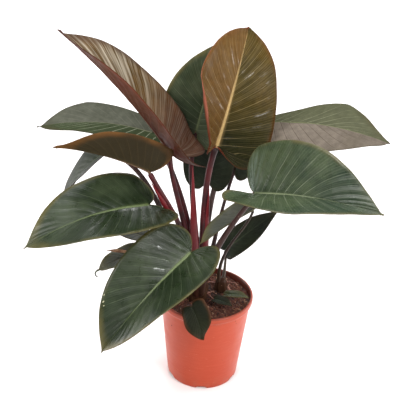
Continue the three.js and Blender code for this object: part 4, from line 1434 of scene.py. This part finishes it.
# Soft lights: name, place and aim in metres, size, power in watts and colour.
LIGHTS = [
    ("key", (-1.5, -1.9, 2.6), (0, 0, 0.45), 1.6, 78, (1.0, 0.98, 0.97)),
    ("fill", (1.9, -1.6, 1.5), (0, 0, 0.4), 1.5, 42, (1.0, 0.97, 0.96)),
    ("top", (0.2, 0.5, 3.0), (0, 0, 0.3), 2.4, 62, (0.98, 0.99, 1.0)),
    ("window", (0.95, -1.78, 2.4), (0, 0, 0.6), 0.3, 14, (1.0, 1.0, 1.0)),
    ("back", (-0.6, 2.4, 1.9), (0, 0, 0.5), 1.6, 26, (1.0, 1.0, 1.0)),
    ("left side", (-1.7, 0.5, 0.5), (0, 0, 0.15), 1.0, 16, (1.0, 0.98, 0.97)),
    ("right side", (1.7, 0.5, 0.5), (0, 0, 0.15), 1.0, 16, (1.0, 0.98, 0.97)),
]


class PHILODENDRON_OT_stage(bpy.types.Operator):
    """Set the floor, the studio lights and the camera"""

    bl_idname = "philodendron.stage"
    bl_label = "Stage"

    def execute(self, context):
        bm = bmesh.new()
        bmesh.ops.create_grid(bm, x_segments=8, y_segments=8, size=14)
        mesh = bpy.data.meshes.new("floor")
        bm.to_mesh(mesh)
        bm.free()
        mesh.materials.append(floor_finish())
        floor = placed("floor", mesh)
        for name, place, aim, size, power, colour in LIGHTS:
            lamp = bpy.data.lights.new(name, "AREA")
            lamp.shape = "DISK"
            lamp.size = size
            lamp.energy = power * settings().light_power
            lamp.color = colour
            light = placed(name, lamp)
            light.location = place
            light.rotation_euler = (Vector(aim) - Vector(place)).to_track_quat("-Z", "Y").to_euler()
        world = bpy.data.worlds.new("studio")
        world.use_nodes = True
        sky = world.node_tree.nodes["Background"]
        sky.inputs["Color"].default_value = (1.0, 0.985, 0.98, 1.0)
        sky.inputs["Strength"].default_value = 0.5 * settings().light_power
        context.scene.world = world
        context.scene.view_settings.view_transform = "Standard"
        photo_camera()
        return {"FINISHED"}


def photo_camera():
    """Camera that stands where the photograph was taken from."""
    pitch, roll = math.radians(CAMERA_PITCH), math.radians(CAMERA_ROLL)
    ahead = Vector((0, math.cos(pitch), -math.sin(pitch)))
    right = Vector((1, 0, 0))
    up = right.cross(ahead)
    axis_x = right * math.cos(roll) + up * math.sin(roll)
    axis_y = up * math.cos(roll) - right * math.sin(roll)
    data = bpy.data.cameras.new("photo camera")
    data.sensor_width = 36
    data.lens = CAMERA_LENS
    data.clip_end = 60
    camera = placed("photo camera", data)
    turn = Matrix((axis_x, axis_y, -ahead)).transposed().to_4x4()
    camera.matrix_world = Matrix.Translation(Vector(CAMERA_PLACE) * MM) @ turn
    bpy.context.scene.camera = camera


class PHILODENDRON_PT_panel(bpy.types.Panel):
    """Steps that build the plant, and its sizes and colours"""

    bl_label = "Philodendron"
    bl_idname = "PHILODENDRON_PT_panel"
    bl_space_type = "VIEW_3D"
    bl_region_type = "UI"
    bl_category = "Philodendron"

    def draw(self, context):
        for step in STEPS:
            self.layout.operator(step.bl_idname)
        for key in PlantSettings.__annotations__:
            self.layout.prop(context.scene.philodendron, key)


STEPS = (
    PHILODENDRON_OT_pot,
    PHILODENDRON_OT_potting_mix,
    PHILODENDRON_OT_litter,
    PHILODENDRON_OT_stems,
    PHILODENDRON_OT_petioles,
    PHILODENDRON_OT_blades,
    PHILODENDRON_OT_midribs,
    PHILODENDRON_OT_marks,
    PHILODENDRON_OT_stage,
)
CLASSES = (PlantSettings, *STEPS, PHILODENDRON_PT_panel)


def register():
    for cls in CLASSES:
        bpy.utils.register_class(cls)
    bpy.types.Scene.philodendron = bpy.props.PointerProperty(type=PlantSettings)


def unregister():
    del bpy.types.Scene.philodendron
    for cls in reversed(CLASSES):
        bpy.utils.unregister_class(cls)


def main():
    register()
    for step in STEPS:
        name = step.bl_idname.split(".")[1]
        getattr(bpy.ops.philodendron, name)()


if __name__ == "__main__":
    main()
